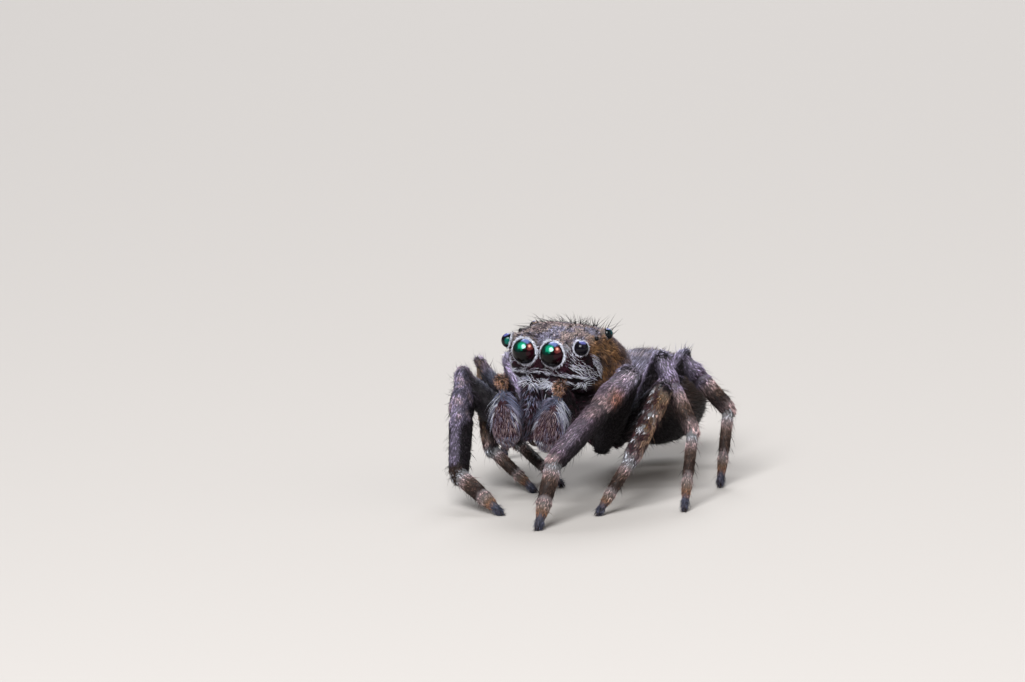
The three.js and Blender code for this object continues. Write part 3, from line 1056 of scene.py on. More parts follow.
def make_skin():
    faces = skin_mesh.polygons
    loops = read(skin_mesh.loops, "vertex_index", kind=np.int32)
    totals = read(faces, "loop_total", kind=np.int32)
    face_of_loop = np.repeat(np.arange(len(faces)), totals)
    centres = read(faces, "center", 3)
    first = np.concatenate(([0], np.cumsum(totals)[:-1]))
    owners = skin_parts[loops[first]]
    owner_of_loop = owners[face_of_loop]
    round_it, along = chart_places(skin_points[loops], owner_of_loop)
    face_round, _ = chart_places(centres, owners)
    turns = np.round(round_it - face_round[face_of_loop])
    atlas = atlas_points(round_it - turns, along, owner_of_loop)
    uv = skin_mesh.uv_layers.new(name="OFBake")
    uv.data.foreach_set("uv", atlas.reshape(-1).astype(np.float32))
    set_colours(skin_mesh, skin_colours)
    skin_mesh.transform(Matrix.Scale(MM, 4))
    skin_mesh.name = "skin"
    faces.foreach_set("use_smooth", [True] * len(faces))
    skin = show("skin", skin_mesh, coat_material("cuticle", 0.6, bump=0.006, specular=0.2))
    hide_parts(*[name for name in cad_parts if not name.startswith(("eye_", "fang_"))])


# ------------------------------------------------------------------ roots of the coat

ROOTS_PER_SQUARE = 2400.0


def scatter_roots():
    """Evenly scattered places over the skin, each with its normal and its part."""
    skin_mesh.calc_loop_triangles()
    triangles = read(skin_mesh.loop_triangles, "vertices", 3, np.int32)
    a, b, c = (skin_points[triangles[:, corner]] for corner in range(3))
    area = np.linalg.norm(np.cross(b - a, c - a), axis=1) / 2
    count = int(area.sum() * ROOTS_PER_SQUARE)
    chosen = rng.choice(len(triangles), size=count, p=area / area.sum())
    first = np.sqrt(rng.uniform(size=count))[:, None]
    second = rng.uniform(size=count)[:, None]
    weights = np.stack((1 - first, first * (1 - second), first * second))
    corners = triangles[chosen].T
    points = sum(weight * skin_points[corner] for weight, corner in zip(weights, corners))
    normals = unit(sum(weight * skin_normals[corner] for weight, corner in zip(weights, corners)))
    owners = skin_parts[corners[0]]
    return points, normals, owners


root_points, root_normals, root_parts = scatter_roots()
make_skin()

root_body = to_body(root_points)
root_along, root_turn = places(root_points, root_parts)
root_names = PART_NAMES[root_parts]
root_colours = markings(root_points, root_parts)
root_atlas = atlas_points(*chart_places(root_points, root_parts), root_parts)
skin_tree = BVHTree.FromPolygons(
    [Vector(point) for point in skin_points], [tuple(face.vertices) for face in skin_mesh.polygons],
)
EYE_CENTRES = {eye: middle(eye) for eye in EYES}
EYE_RADII = {eye: radius_of(eye) for eye in EYES}
COATS = {}


def pick(chosen, share):
    """The numbers of the roots in a region, thinned to a share of them."""
    return np.flatnonzero(chosen & (rng.uniform(size=len(root_points)) < share))


def clear_of_eyes(points, space=0.012):
    clear = np.ones(len(points), bool)
    for eye in EYES:
        clear &= np.linalg.norm(points - EYE_CENTRES[eye], axis=1) > EYE_RADII[eye] + space
    return clear


def flow_round_eyes(points, flow):
    """Bends a flow of hairs so that it passes round each eye and not across it."""
    for eye in EYES:
        outward = unit(points - EYE_CENTRES[eye])
        gap = np.linalg.norm(points - EYE_CENTRES[eye], axis=1) - EYE_RADII[eye]
        weight = np.exp(-np.maximum(gap, 0) / 0.1)[:, None]
        flow = flow - weight * (flow * outward).sum(axis=1, keepdims=True) * outward
    return flow


def add_tufts(
    coat, roots, normals, lie, colours, atlas, length, width, lift=10.0, curl=0.7, leaf=0.0, sweep=None,
    jitter=0.2, dark=0.45, thick=0.5, vary=0.16,
):
    """Adds one tuft at each root. Angles are degrees, and `lie` is the way that the tuft points."""
    count = len(roots)
    lie = unit(lie) + rng.normal(scale=jitter, size=(count, 3))
    lie = unit(lie - (lie * normals).sum(axis=1, keepdims=True) * normals)
    tip = colours * np.exp(rng.normal(scale=vary, size=(count, 1)))
    COATS.setdefault(coat, Tufts()).add(
        root=roots, normal=normals, lie=lie, atlas=atlas,
        length=length * rng.uniform(0.75, 1.2, count), width=width * rng.uniform(0.8, 1.2, count),
        lift=np.radians(lift) * rng.uniform(0.6, 1.4, count), curl=np.full(count, curl),
        leaf=np.full(count, float(leaf)), thick=np.full(count, thick),
        sweep=np.zeros((count, 3)) + (0 if sweep is None else sweep),
        root_colour=tip * dark, tip_colour=tip,
    )


def grow(coat, chosen, lie, length, width, tone=1, colours=None, shades=None, **options):
    """Tufts on scattered roots, coloured by the markings unless colours or weighted shades are given."""
    if shades is not None:
        colours = pick_colours(len(chosen), shades)
    if colours is None:
        colours = root_colours[chosen] * tone
    add_tufts(
        coat, root_points[chosen], root_normals[chosen], lie, colours, root_atlas[chosen], length, width,
        **options,
    )


def on_skin(points, directions):
    """Where rays meet the skin, from outside: places, normals and the part numbers there."""
    hits = []
    normals = []
    owners = []
    for point, direction in zip(points, directions):
        hit, normal, face, _ = skin_tree.ray_cast(Vector(point), Vector(direction))
        if hit is not None:
            hits.append(hit)
            normals.append(normal)
            owners.append(skin_parts[skin_mesh.polygons[face].vertices[0]])
    return np.array(hits).reshape(-1, 3), np.array(normals).reshape(-1, 3), np.array(owners, int)


def atlas_near(points, part_name):
    owners = np.full(len(points), PART_NUMBER[part_name])
    return atlas_points(*chart_places(points, owners), owners)


def pick_colours(count, table):
    """A colour for each of `count` tufts, from (weight, colour) pairs."""
    weights = np.array([row[0] for row in table], float)
    choice = rng.choice(len(table), size=count, p=weights / weights.sum())
    return np.array([row[1] for row in table])[choice]


# ---- head


def head_flow(body):
    """Back over the top, outward and down over the face, back and down on the sides."""
    left, forward, up = body.T
    sign = np.sign(left)
    across = np.abs(left)
    level = np.zeros_like(left)
    top = np.stack((0.3 * left, level - 1, level), axis=1)
    front = np.stack((sign * (0.5 + 0.45 * across), level - 0.3, -0.45 - 0.55 * across), axis=1)
    side = np.stack((0.1 * sign, level - 0.55, level - 0.8), axis=1)
    flow = mix(top, front, ramp(-0.35, -0.05, forward) * ramp(0.3, 0.1, up))
    return mix(flow, side, ramp(0.7, 0.9, across) * ramp(-0.2, -0.5, forward) * ramp(0.35, 0.15, up))


def head_lie(chosen):
    return flow_round_eyes(root_points[chosen], head_flow(root_body[chosen]) @ BODY_AXES)


def coat_head():
    head = (root_names == "carapace") & clear_of_eyes(root_points)
    left, forward, up = root_body.T
    reach = -0.45 - 0.4 * ramp(0.0, -0.15, up) * ramp(-0.7, -0.55, up)
    on_face = head & (forward > reach) & (up < 0.2)
    crown = head & ~on_face & (up > -0.05) & (np.abs(left) < 0.92)
    flank = head & ~on_face & ~crown
    for region, long, fine in ((crown, 0.10, 0.015), (flank, 0.15, 0.016)):
        under = pick(region, 0.8)
        grow(
            "head_under", under, head_lie(under), long, 0.026, tone=0.5, lift=9, jitter=0.35, vary=0.4,
            thick=0.3,
        )
        over = pick(region, 0.55)
        grow(
            "head", over, head_lie(over), long * 1.25, fine, tone=1.25, lift=16, leaf=0.6, jitter=0.45,
            vary=0.45, dark=0.5,
        )
    # The face is dark, with short dark hairs that leave its white rows clear.
    face = pick(on_face, 0.8)
    grow("head_under", face, head_lie(face), 0.07, 0.014, lift=22, jitter=0.3, vary=0.5)
    # In the hollows round the eyes the hairs stand up more.
    hollow = pick(head & ~clear_of_eyes(root_points, 0.13), 1.0)
    grow("head", hollow, head_lie(hollow), 0.1, 0.014, lift=30, jitter=0.4, vary=0.5, dark=0.6)


RING_LOOKS = {
    "front_middle": dict(count=480, breadth=0.03, length=0.07, ahead=0.05, shade=WHITE),
    "front_side": dict(count=200, breadth=0.018, length=0.05, ahead=0.015, shade=WHITE),
    "back_side": dict(count=50, breadth=0.015, length=0.045, ahead=0.0, shade=TAN),
}


def coat_eye_rings():
    """Fine white scale hairs round each eye: a rim of hairs along it, on short ones that lean forward."""
    for row, look in RING_LOOKS.items():
        count = look["count"]
        lashes = count // 3
        for side in SIDES:
            eye = f"eye_{row}_{side}"
            axis = eye_axis(eye)
            first = unit(np.cross(axis, UP))
            second = np.cross(axis, first)
            turn = rng.uniform(0, 2 * np.pi, count)
            radial = np.cos(turn)[:, None] * first + np.sin(turn)[:, None] * second
            beyond = 0.006 + look["breadth"] * rng.uniform(0, 1, count) ** 1.3
            beyond[:lashes] = 0.012
            ahead = look["ahead"] - 0.6 * beyond
            ahead[:lashes] = -0.02
            roots = EYE_CENTRES[eye] + radial * (EYE_RADII[eye] + beyond)[:, None] + axis * ahead[:, None]
            tangent = np.cross(axis, radial)
            lies = tangent * np.sign((tangent * -UP).sum(axis=1, keepdims=True) + 1e-6)
            lies = lies + radial * rng.uniform(0, 0.9, (count, 1))
            lies[:lashes] = axis
            colours = mix(look["shade"], LILAC, rng.uniform(0, 0.5, count))
            add_tufts(
                "face", roots, unit(radial * 0.6 + axis), lies, colours, atlas_near(roots, "carapace"),
                look["length"], PALE_HAIR, lift=13, jitter=0.34, dark=0.85, vary=0.25,
            )


HEAD_MIDDLE = -0.85  # how far forward the upright line is, from which places on the cheek are measured


def on_cheek_at(turn, up):
    """Where level lines toward the middle of the head, from these turns from straight ahead, meet it."""
    out = np.stack((np.sin(turn), np.cos(turn), turn * 0), axis=1)
    core = np.stack((turn * 0, turn * 0 + HEAD_MIDDLE, up), axis=1)
    starts = from_body(core + 1.2 * out)
    hits, normals, owners = on_skin(starts, from_body(core) - starts)
    good = PART_NAMES[owners] == "carapace"
    return hits[good], normals[good]


PALE_HAIR = 0.0115  # the width of the fine pale hairs, as on the face
WHITE_SHADES = ((6, WHITE), (2, LILAC))


def white_hairs(points, normals, lies, length, width=PALE_HAIR, shades=WHITE_SHADES, **look):
    """Pale hairs at these places on the face."""
    colours = pick_colours(len(points), shades)
    add_tufts("face", points, normals, lies, colours, atlas_near(points, "carapace"), length, width, **look)


def white_row(sign, start, bend, end, scatter=0.005):
    """A row of white scale hairs along a bent line of (turn in degrees, height) places on the head."""
    share = np.linspace(0, rng.uniform(0.8, 1), 24)[:, None]
    path = (1 - share) ** 2 * start + 2 * share * (1 - share) * bend + share ** 2 * end
    hits, normals = on_cheek_at(np.radians(path[:, 0]) * sign, path[:, 1])
    if len(hits) < 4:
        return
    lies = unit(np.gradient(hits, axis=0))
    roots = hits + np.cross(normals, lies) * rng.normal(scale=scatter, size=(len(hits), 1))
    roots = roots + lies * rng.uniform(-0.02, 0.02, (len(roots), 1))
    clear = clear_of_eyes(roots, 0.0)
    roots, lies, normals = roots[clear], lies[clear], normals[clear]
    if len(roots) == 0:
        return
    white_hairs(roots, normals, lies, 0.12, lift=26, curl=1.0, jitter=0.16, dark=0.9, vary=0.15)


# The fans of white rows on the cheek: how many, and the first and the last row's start, bend and end,
# each as (degrees round the head, height).
CHEEK_FANS = (
    (3, ((33, 0.23), (35, 0.10), (40, -0.06)), ((35, 0.23), (40, 0.08), (47, -0.06))),
    (6, ((34, 0.10), (58, -0.24), (83, -0.49)), ((34.5, -0.20), (46, -0.31), (54, -0.42))),
    (5, ((64, -0.01), (84, -0.10), (93, -0.50)), ((70, -0.20), (80, -0.33), (86, -0.53))),
)


def coat_cheeks():
    """White rows that start outside the big eyes and under the side eyes and sweep down over the cheek."""
    for sign in (1, -1):
        for count, first, last in CHEEK_FANS:
            for share in np.linspace(0, 1, count):
                start, bend, end = np.array(first) * (1 - share) + np.array(last) * share
                white_row(sign, start, bend, end)


# Each line across the face: its height, how far its ends drop, its hairs, its reach and its spread.
FACE_LINES = (
    (-0.315, 0.22, 90, 0.85, 0.008),
    (-0.375, 0.17, 190, 1.00, 0.007),
    (-0.41, 0.16, 120, 0.98, 0.006),
)
BRUSH_HAIRS = 420
BRUSH_TOP = -0.53
BRUSH_LOW = -0.61
BRUSH_SHADES = ((9, WHITE), (1, LILAC))


def on_face_at(left, up):
    """Where lines from in front, at these (left, up) places, meet the head or the jaws."""
    starts = from_body(np.stack((left * 1.25, left * 0 + 1.0, up), axis=1))
    ends = from_body(np.stack((left, left * 0 - 0.1, up), axis=1))
    hits, normals, owners = on_skin(starts, ends - starts)
    names = PART_NAMES[owners]
    good = (names == "carapace") | np.char.startswith(names, "chelicera") | (names == "mouthparts")
    return hits[good], normals[good]


def coat_clypeus():
    """Pale lines across the face below the eyes, and the dense white brush over the jaws."""
    for height, drop, count, reach, scatter in FACE_LINES:
        left = rng.uniform(-reach, reach, count)
        up = height - drop * left ** 2 + rng.normal(scale=scatter, size=count)
        hits, normals = on_face_at(left, up)
        body = to_body(hits)
        outward = np.sign(body[:, :1] + rng.normal(scale=0.06, size=(len(hits), 1)))
        slope = -2 * drop * np.abs(body[:, :1])
        lie = outward * LEFT + slope * UP - FORWARD * 0.2
        white_hairs(hits, normals, lie, 0.13, lift=20, jitter=0.17, dark=0.9, vary=0.15)
    left = rng.uniform(-0.92, 0.92, BRUSH_HAIRS)
    up = rng.uniform(BRUSH_LOW, BRUSH_TOP, BRUSH_HAIRS) - 0.06 * left ** 2
    hits, normals = on_face_at(left, up)
    keep = to_body(hits)[:, 1] > -0.45
    hits, normals = hits[keep], normals[keep]
    lean = rng.choice((-1.0, 1.0), size=(len(hits), 1)) * rng.uniform(0.4, 2.4, (len(hits), 1))
    lie = lean * LEFT - UP + FORWARD * 0.1
    white_hairs(
        hits, normals, lie, 0.2, 0.013, BRUSH_SHADES, lift=26, curl=0.9, jitter=0.25, dark=0.95, vary=0.08,
    )


def bristle_lift(points, length):
    """The steepest lift, in degrees, at which a bristle of this length stays below the top limit."""
    room = (TOP_LIMIT - 0.02 - points[:, 2]) / length
    return np.degrees(np.arcsin(np.clip(room, 0.15, 0.85)))


def coat_bristles():
    """Thin black bristles that stand up on the head, leaning forward, with shorter ones between the eyes."""
    head = (root_names == "carapace") & clear_of_eyes(root_points, 0.03)
    left, forward, up = root_body.T
    crown = head & (up > 0.1) & (forward > -1.7)
    brow = head & (forward > -0.4) & (up > -0.1) & (np.abs(left) < 0.75)
    kinds = (
        (pick(crown, 0.012), 0.46), (pick(crown, 0.018), 0.26), (pick(crown, 0.05), 0.14),
        (pick(brow, 0.07), 0.15),
    )
    for chosen, length in kinds:
        side = np.sign(left[chosen])[:, None]
        lie = FORWARD * 0.8 + LEFT * side * 0.45
        dark = np.tile(BLACK * 0.45, (len(chosen), 1))
        grow(
            "bristles", chosen, lie, length, 0.0145, colours=dark, jitter=0.45, thick=0.9, curl=0.3,
            lift=bristle_lift(root_points[chosen], length) * (1.0 if length > 0.2 else 0.6),
        )


coat_head()
coat_eye_rings()
coat_cheeks()
coat_clypeus()
coat_bristles()

# ---- abdomen, underside and jaws


def coat_abdomen():
    mine = root_names == "abdomen"
    for coat, share, length, width, tone, lift in (
        ("abdomen_under", 0.4, 0.17, 0.028, 0.45, 10), ("abdomen", 0.32, 0.22, 0.018, 1.1, 17),
        ("abdomen", 0.035, 0.27, 0.013, 0.9, 38),
    ):
        chosen = pick(mine, share)
        left, _, up = root_body[chosen].T
        lie = -FORWARD + np.outer(left * 0.3, LEFT) - np.outer(ramp(-1.2, -2.2, up) * 0.5, UP)
        grow(coat, chosen, lie, length, width, tone=tone, lift=lift, vary=0.4)


# Each part of the underside: the share of the roots that carry a hair, and the hairs' length.
UNDERSIDE = {
    "sternum": (0.25, 0.16), "mouthparts": (0.25, 0.14), "pedicel": (0.25, 0.12),
    "spinnerets": (0.3, 0.1),
}


def coat_under():
    for name, (share, length) in UNDERSIDE.items():
        chosen = pick(root_names == name, share)
        grey = mix(root_colours[chosen], GREY, rng.uniform(0, 0.8, len(chosen)) ** 2)
        grow("underside", chosen, -FORWARD, length, 0.013, colours=grey, lift=16, jitter=0.25)


def coat_jaws():
    """Patches of lilac and white hairs on the upper part of each jaw, darker and sparser ones below."""
    for side in SIDES:
        chosen = pick(root_names == f"chelicera_{side}", 0.36)
        patch = ripple(root_points[chosen], 0.14, 11)
        upper = rng.uniform(size=len(chosen)) < ramp(0.75, 0.3, root_along[chosen]) * ramp(-0.3, 0.25, patch)
        pale = pick_colours(len(chosen), ((4, LILAC * 0.9), (3, BLUE_GREY), (1, WHITE)))
        low = pick_colours(len(chosen), ((3, SLATE), (3, MAROON), (2, MAUVE * 0.7)))
        colours = np.where(upper[:, None], pale, low)
        lie = -UP + LEFT * SIGN[side] * 0.55
        grow("jaws", chosen, lie, 0.17, 0.014, colours=colours, lift=17, jitter=0.3, dark=0.7)


coat_abdomen()
coat_under()
coat_jaws()

# ---- palps


# Weighted shades of the palps' hairs.
ELBOW_SHADES = ((2, GOLD), (5, PEACH), (2, PINK), (3, BLACK))
JOINT_SHADES = ((5, BLUE_GREY), (1, PEACH), (3, SLATE * 0.5))
HAND_UNDER_SHADES = ((4, MAUVE * 0.4), (4, MAROON * 0.8), (2, BLACK))
HAND_SHADES = ((4, MAUVE), (4, PINK * 0.7), (2, LILAC * 0.7), (2, MAROON))
OUTER_FAN_SHADES = ((5, WHITE), (3, BLUE_GREY), (2, LILAC))
INNER_FAN_SHADES = ((5, BLUE_GREY), (4, SLATE), (2, LILAC))
TIP_SHADES = ((3, BLUE_GREY), (2, WHITE), (1, GREY))
# The fringe on each side of the hand: its side, its length and its shades.
FRINGES = (
    (1, 0.26, ((4, WHITE), (3, BLUE_GREY), (2, LILAC))),
    (-1, 0.28, ((4, BLUE_GREY), (3, LILAC * 0.8), (1, WHITE))),
)
FRINGE_SHARE = 0.12


def coat_palps():
    for side in SIDES:
        arm = parts[PART_NUMBER[f"palp_arm_{side}"]]
        hand = parts[PART_NUMBER[f"palp_hand_{side}"]]
        down = hand["axis"]
        on_hand = root_names == hand["name"]
        chosen = pick(root_names == arm["name"], 0.5)
        grow("palps", chosen, arm["axis"], 0.14, 0.014, lift=18, jitter=0.25, vary=0.4)

        # The elbow's gold tuft, and the small joint below it.
        tuft = pick(on_hand & (root_along < 0.16), 1.0)
        grow(
            "palps", tuft, FORWARD * 0.3 + down * 0.6, 0.11, 0.013, shades=ELBOW_SHADES, lift=44, curl=0.8,
            jitter=0.8, dark=0.3, vary=0.3,
        )
        joint = pick(on_hand & (root_along >= 0.16) & (root_along < 0.35), 0.7)
        grow("palps", joint, down, 0.09, 0.013, shades=JOINT_SHADES, lift=26, jitter=0.35, vary=0.3)

        # The hand: fine pale hairs over dark red, and a dark underlayer.
        cover = on_hand & (root_along >= 0.37)
        grow("palp_under", pick(cover, 0.6), down, 0.12, 0.02, shades=HAND_UNDER_SHADES, lift=8)
        over = pick(cover, 0.55)
        sink = np.outer(root_turn[over] * 0.12, hand["side"])
        grow(
            "palp_hair", over, down + sink, 0.15, PALE_HAIR, shades=HAND_SHADES, lift=11, curl=0.9,
            jitter=0.1, dark=0.5, vary=0.35,
        )

        # Long pale hairs that fan out sideways from the joint and bend down past the hand.
        for way in (1, -1):
            outer = way == -SIGN[side]
            edge = np.sin(root_turn) * way
            rim = pick(on_hand & (edge > 0.2) & (root_along > 0.22) & (root_along < 0.46), 0.34)
            grow(
                "palp_hair", rim, down * 0.1 + hand["side"] * way, 0.34, PALE_HAIR, lift=34, curl=1.2,
                shades=OUTER_FAN_SHADES if outer else INNER_FAN_SHADES, jitter=0.14, dark=0.5,
                sweep=down * 0.75,
            )

        # Pale fringes that curve out and down from both sides, and short hairs at the tip.
        for way, length, shades in FRINGES:
            edge = np.sin(root_turn) * way * SIGN[side]
            rim = pick(on_hand & (edge > 0.75) & (root_along > 0.36) & (root_along < 0.75), FRINGE_SHARE)
            outward = np.sign(np.sin(root_turn[rim]))[:, None] * hand["side"]
            grow(
                "palp_hair", rim, down + outward * 0.25, length, 0.0125, shades=shades, lift=24, curl=1.4,
                jitter=0.1, dark=0.6,
            )
        tip = pick(on_hand & (root_along > 0.99), 0.6)
        grow("palp_hair", tip, down, 0.1, 0.014, shades=TIP_SHADES, lift=22, jitter=0.2)


coat_palps()

# ---- legs

LEG_COAT = {
    "coxa": dict(coat="underside", share=0.4, length=0.13, width=0.016),
    "femur": dict(coat="femora", share=0.34, length=0.15, width=0.019),
    "tibia": dict(coat="tibiae", share=0.44, length=0.13, width=0.018),
    "foot": dict(coat="feet", share=0.42, length=0.11, width=0.014),
}


TOE_SHADES = ((3, SLATE * 0.7), (2, SLATE), (1, BLACK))


def leg_lie(part, chosen):
    return part["axis"] - part["back"] * 0.15 * np.cos(root_turn[chosen])[:, None]


def coat_leg_segment(part, coat, share, length, width):
    """A dark underlayer, the scales over it, and a few long hairs that stand up."""
    mine = root_names == part["name"]
    under = pick(mine, 0.4)
    grow(
        "legs_under", under, leg_lie(part, under), length * 0.85, 0.03, tone=0.5, lift=9, vary=0.35,
        thick=0.3,
    )
    over = pick(mine, share)
    grow(
        coat, over, leg_lie(part, over), length, width, tone=1.15, lift=15, leaf=0.6, jitter=0.25,
        vary=0.45,
    )
    erect = pick(mine, 0.03)
    grow(
        coat, erect, part["axis"], length * 1.9, 0.011, tone=0.7, lift=42, curl=0.5, jitter=0.3, vary=0.3,
    )


# Where spines stand along a segment, and round it from the back, in degrees.
SPINES = {
    "femur": ((0.45, 0), (0.65, 0), (0.85, 35), (0.85, -35)),
    "tibia": ((0.55, 140), (0.55, -140), (0.72, 140), (0.72, -140), (0.93, 135), (0.93, -135), (0.75, 80)),
    "foot": ((0.14, 140), (0.14, -140), (0.34, 140), (0.34, -140), (0.5, 95), (0.5, -95)),
}


def coat_spines(part, segment):
    """Stout dark spines that lean toward the foot."""
    for along, turn in SPINES.get(segment, ()):
        turn = math.radians(turn) + rng.normal(scale=0.12)
        outward = math.cos(turn) * part["back"] + math.sin(turn) * part["side"]
        middle_line = part["start"] + part["axis"] * part["length"] * along
        hits, normals, _ = on_skin([middle_line + outward * 0.6], [-outward])
        if len(hits) == 0:
            continue
        add_tufts(
            "spines", hits, normals, part["axis"][None], DARK_BROWN[None] * 0.5,
            atlas_near(hits, part["name"]), 0.27, 0.02, lift=40, curl=0.5, jitter=0.08, thick=0.9,
        )


def coat_legs():
    for side in SIDES:
        for pair in LEG_PAIRS:
            for segment in SEGMENTS:
                part = parts[PART_NUMBER[f"leg_{side}_{pair}_{segment}"]]
                coat_leg_segment(part, **LEG_COAT[segment])
                coat_spines(part, segment)
            toe = pick((root_names == part["name"]) & (root_along > 0.9), 0.6)
            downward = part["axis"] * 0.8 - np.array((0, 0, 1.0))
            grow("feet", toe, downward, 0.12, 0.016, shades=TOE_SHADES, lift=32, jitter=0.3)


coat_legs()

# ---- the coat's pieces

PIECES = (
    ("head_under", "coat_head_under", "head_coat", (0,)),
    ("head", "coat_head", "head_coat", (0, 0.5)),
    ("face", "coat_face", "head_coat", (0, 0.35, 0.7)),
    ("bristles", "coat_bristles", "head_coat", (0, 0.35, 0.7)),
    ("abdomen_under", "coat_abdomen_under", "abdomen_coat", (0,)),
    ("abdomen", "coat_abdomen", "abdomen_coat", (0, 0.5)),
    ("underside", "coat_underside", "belly_skin", (0, 0.5)),
    ("jaws", "coat_jaws", "jaw_skin", (0, 0.5)),
    ("palps", "coat_palp_arms", "palp_coat", (0, 0.5)),
    ("palp_under", "coat_palp_under", "palp_coat", (0,)),
    ("palp_hair", "coat_palp_hands", "palp_coat", (0, 0.35, 0.7)),
    ("legs_under", "coat_legs_under", "femur_coat", (0,)),
    ("femora", "coat_femora", "femur_coat", (0, 0.5)),
    ("tibiae", "coat_tibiae", "tibia_coat", (0, 0.5)),
    ("feet", "coat_feet", "foot_coat", (0, 0.5)),
    ("spines", "coat_spines", "foot_coat", (0, 0.5)),
)
for coat, name, slot, rings in PIECES:
    mesh = tuft_mesh(name, COATS[coat], rings)
    show(name, mesh, coat_material(name, 0.5, specular=0.2))


# ------------------------------------------------------------------ eyes

UNWRAP_EDGE = 0.01


def unwrapped_mesh(name, points, faces, flat):
    """A smooth mesh whose corners, face by face, have these places on its unwrap."""
    mesh = bpy.data.meshes.new(name)
    mesh.from_pydata((points * MM).tolist(), [], faces)
    uv = mesh.uv_layers.new(name="OFBake")
    uv.data.foreach_set("uv", np.array(flat).reshape(-1))
    mesh.polygons.foreach_set("use_smooth", [True] * len(mesh.polygons))
    return mesh


def ball_mesh(name, radius, rows=48, columns=96):
    """A smooth ball about its own middle, with an unwrap by turn and height."""
    ring = globe(np.linspace(0.0, np.pi, rows + 1)[1:-1], columns).reshape(-1, 3)
    points = np.concatenate(([(0, 0, 1.0)], ring, [(0, 0, -1.0)])) * radius
    faces = []
    spots = []
    for row in range(rows - 2):
        for column in range(columns):
            after = (column + 1) % columns
            upper = 1 + row * columns
            lower = upper + columns
            faces.append((upper + column, lower + column, lower + after, upper + after))
            spots.extend((
                (column, row + 1), (column, row + 2), (column + 1, row + 2), (column + 1, row + 1),
            ))
    last = 1 + (rows - 2) * columns
    for column in range(columns):
        after = (column + 1) % columns
        faces.append((0, 1 + column, 1 + after))
        spots.extend(((column + 0.5, 0), (column, 1), (column + 1, 1)))
        faces.append((len(points) - 1, last + after, last + column))
        spots.extend(((column + 0.5, rows), (column + 1, rows - 1), (column, rows - 1)))
    span = 1 - 2 * UNWRAP_EDGE
    flat = [(UNWRAP_EDGE + span * c / columns, UNWRAP_EDGE + span * (1 - r / rows)) for c, r in spots]
    return unwrapped_mesh(name, points, faces, flat)


def painted_reflection_patch(nodes, links, direction, inner, outer, texture):
    """How much a point of the lens lies in a painted reflection patch about a direction from the middle of
    the eye.
    """
    edge = inner - outer
    straight = new_node(nodes, "VectorMath", operation="NORMALIZE")
    links.new(new_node(nodes, "TexCoord").outputs["Object"], straight.inputs[0])
    toward = new_node(nodes, "VectorMath", operation="DOT_PRODUCT")
    toward.inputs[1].default_value = direction
    links.new(straight.outputs["Vector"], toward.inputs[0])
    uneven = new_node(nodes, "Math", operation="MULTIPLY_ADD")
    links.new(texture.outputs["Fac"], uneven.inputs[0])
    uneven.inputs[1].default_value = 2.4 * edge
    links.new(toward.outputs["Value"], uneven.inputs[2])
    limits = {"From Min": outer + 1.2 * edge, "From Max": inner + 1.2 * edge}
    span = new_node(nodes, "MapRange", limits, interpolation_type="SMOOTHERSTEP")
    links.new(uneven.outputs["Value"], span.inputs["Value"])
    return span.outputs["Result"]


def lens_material(name, base, patches):
    """A dark wet lens with painted reflections and highlights as coloured patches, fixed to the eye."""
    material, nodes, links = new_material(name, {"Roughness": 0.05, "Specular IOR Level": 0.2})
    texture = noise(nodes, links, 14000.0, detail=3.0)
    ground = nodes.new("ShaderNodeRGB")
    ground.outputs["Color"].default_value = (*base, 1)
    tone = ground.outputs["Color"]
    for shade, direction, inner, outer in patches:
        blend = new_node(nodes, "Mix", data_type="RGBA")
        links.new(painted_reflection_patch(nodes, links, direction, inner, outer, texture), blend.inputs["Factor"])
        links.new(tone, blend.inputs["A"])
        blend.inputs["B"].default_value = (*shade, 1)
        tone = blend.outputs["Result"]
    links.new(tone, nodes["Principled BSDF"].inputs["Base Color"])
    return material


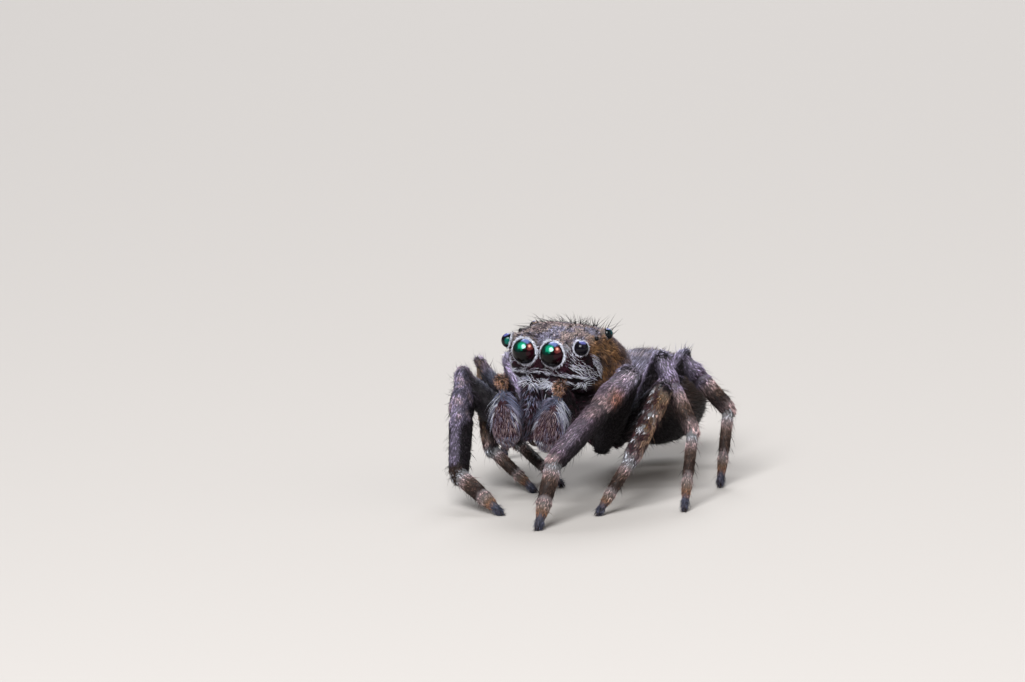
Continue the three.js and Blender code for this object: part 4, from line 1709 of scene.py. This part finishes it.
def make_eyes():
    """Smooth lenses in place of the solids' eyes, of the same size and place."""
    # Painted reflections and highlights of the lamps and the sky in the lenses: green, blue, dark red, copper
    # and amber patches, and a mint highlight.
    painted_mint_highlight = colour(150, 230, 205)
    painted_emerald_reflection = colour(14, 128, 96)
    painted_green_reflection = colour(5, 38, 32)
    painted_sky_reflection = colour(88, 104, 150)
    amber = colour(220, 150, 132)
    painted_copper_reflection = colour(96, 42, 40)
    painted_garnet_reflection = colour(34, 5, 14)
    # Each row's lens: its dark base, then its painted reflections and highlights, each as a colour, a
    # direction from the eye's middle, and an inner and an outer edge.
    looks = {
        "front_middle": (colour(9, 7, 7), (
            (painted_green_reflection, (-0.05, 0.60, 0.80), 0.97, 0.80), (painted_garnet_reflection, (0.87, -0.10, 0.47), 0.99, 0.80),
            (painted_sky_reflection, (0.25, 0.91, 0.32), 0.985, 0.90), (painted_emerald_reflection, (0.15, 0.62, 0.77), 0.985, 0.915),
            (painted_mint_highlight, (0.31, 0.52, 0.795), 0.997, 0.972), (painted_copper_reflection, (0.73, 0.48, 0.49), 0.99, 0.945),
            (amber, (0.69, 0.52, 0.50), 0.9985, 0.985),
        )),
        "front_side": (colour(12, 9, 16), (
            (colour(10, 84, 74), (0.93, 0.12, 0.35), 0.97, 0.80),
            (colour(84, 86, 140), (0.1, 0.8, 0.6), 0.98, 0.84),
        )),
        "back_middle": (colour(12, 10, 14), ()),
        "back_side": (colour(8, 14, 16), (
            (colour(8, 66, 70), (0.1, 0.3, 0.9), 0.95, 0.5), (colour(90, 96, 160), (0, 0.8, 0.6), 0.99, 0.85),
        )),
    }
    for row in EYE_ROWS:
        base, patches = looks[row]
        material = lens_material(f"lens_{row}", base, patches)
        for side in SIDES:
            eye = f"eye_{row}_{side}"
            mesh = ball_mesh(f"lens_{row}_{side}", EYE_RADII[eye])
            lens = bpy.data.objects.new(f"lens_{row}_{side}", mesh)
            mesh.materials.append(material)
            # The lens looks along its own +Z, with its +Y up.
            ahead = eye_axis(eye)
            upward = unit(UP - np.dot(UP, ahead) * ahead)
            set_place(lens, np.cross(upward, ahead), upward, ahead, EYE_CENTRES[eye])
            link(lens)
            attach(lens, "root")
            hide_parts(eye)


make_eyes()

# ------------------------------------------------------------------ fangs and claws

HORN_SIDES = 10


def horn_mesh(name, paths):
    """Curved horns that taper to a point, as one mesh, from each one's centres and thickness at its root."""
    points = []
    faces = []
    turn = np.linspace(0, 2 * np.pi, HORN_SIDES, endpoint=False)
    for number, (centres, thick) in enumerate(paths):
        ahead = unit(np.gradient(centres, axis=0))
        across = unit(np.cross(ahead, (0.37, 0.21, 0.9)))
        other = np.cross(ahead, across)
        size = thick * np.sqrt(1 - 0.97 * np.linspace(0, 1, len(centres)))
        rings = centres[:, None] + size[:, None, None] * (
            np.cos(turn)[None, :, None] * across[:, None] + np.sin(turn)[None, :, None] * other[:, None]
        )
        base = number * len(centres) * HORN_SIDES
        points.append(rings.reshape(-1, 3))
        faces += [tuple(base + corner for corner in face) for face in grid_faces(len(centres), HORN_SIDES)]
    points = np.concatenate(points)
    rows = len(points) / HORN_SIDES
    spots = [divmod(corner, HORN_SIDES) for face in faces for corner in face]
    flat = [(0.05 + 0.9 * column / HORN_SIDES, 0.05 + 0.9 * row / rows) for row, column in spots]
    return unwrapped_mesh(name, points, faces, flat)


def curve(start, bend, end, steps=9):
    """A smooth path from start to end, pulled toward the bend."""
    t = np.linspace(0, 1, steps)[:, None]
    return (1 - t) ** 2 * start + 2 * t * (1 - t) * bend + t ** 2 * end


FANG_PATH = ((0.25, -0.05, -1.72), (0.25, -0.07, -1.88), (0.06, -0.14, -1.86))


def make_horns():
    horn = new_material("horn", {"Base Color": (*colour(34, 16, 12), 1), "Roughness": 0.22})[0]
    for side in SIDES:
        path = curve(*(mirrored(side, spot) for spot in FANG_PATH))
        name = f"fang_smooth_{side}"
        fang = show(name, horn_mesh(name, [(path, 0.055)]), horn)
        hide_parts(f"fang_{side}")
    paths = []
    for joints in legs.values():
        along = unit(joints["toe"] - joints["ankle"])
        level = unit(along * (1, 1, 0))
        across = np.cross(level, (0, 0, 1))
        for sign in (1, -1):
            start = joints["toe"] + along * 0.03 + across * 0.02 * sign
            bend = start + level * 0.09 + across * 0.012 * sign
            end = start + level * 0.1 + across * 0.012 * sign
            start[2] = max(start[2], 0.03)
            bend[2] = start[2]
            end[2] = 0.006
            paths.append((curve(start, bend, end, 6), 0.014))
    show("claws", horn_mesh("claws", paths), horn)


make_horns()
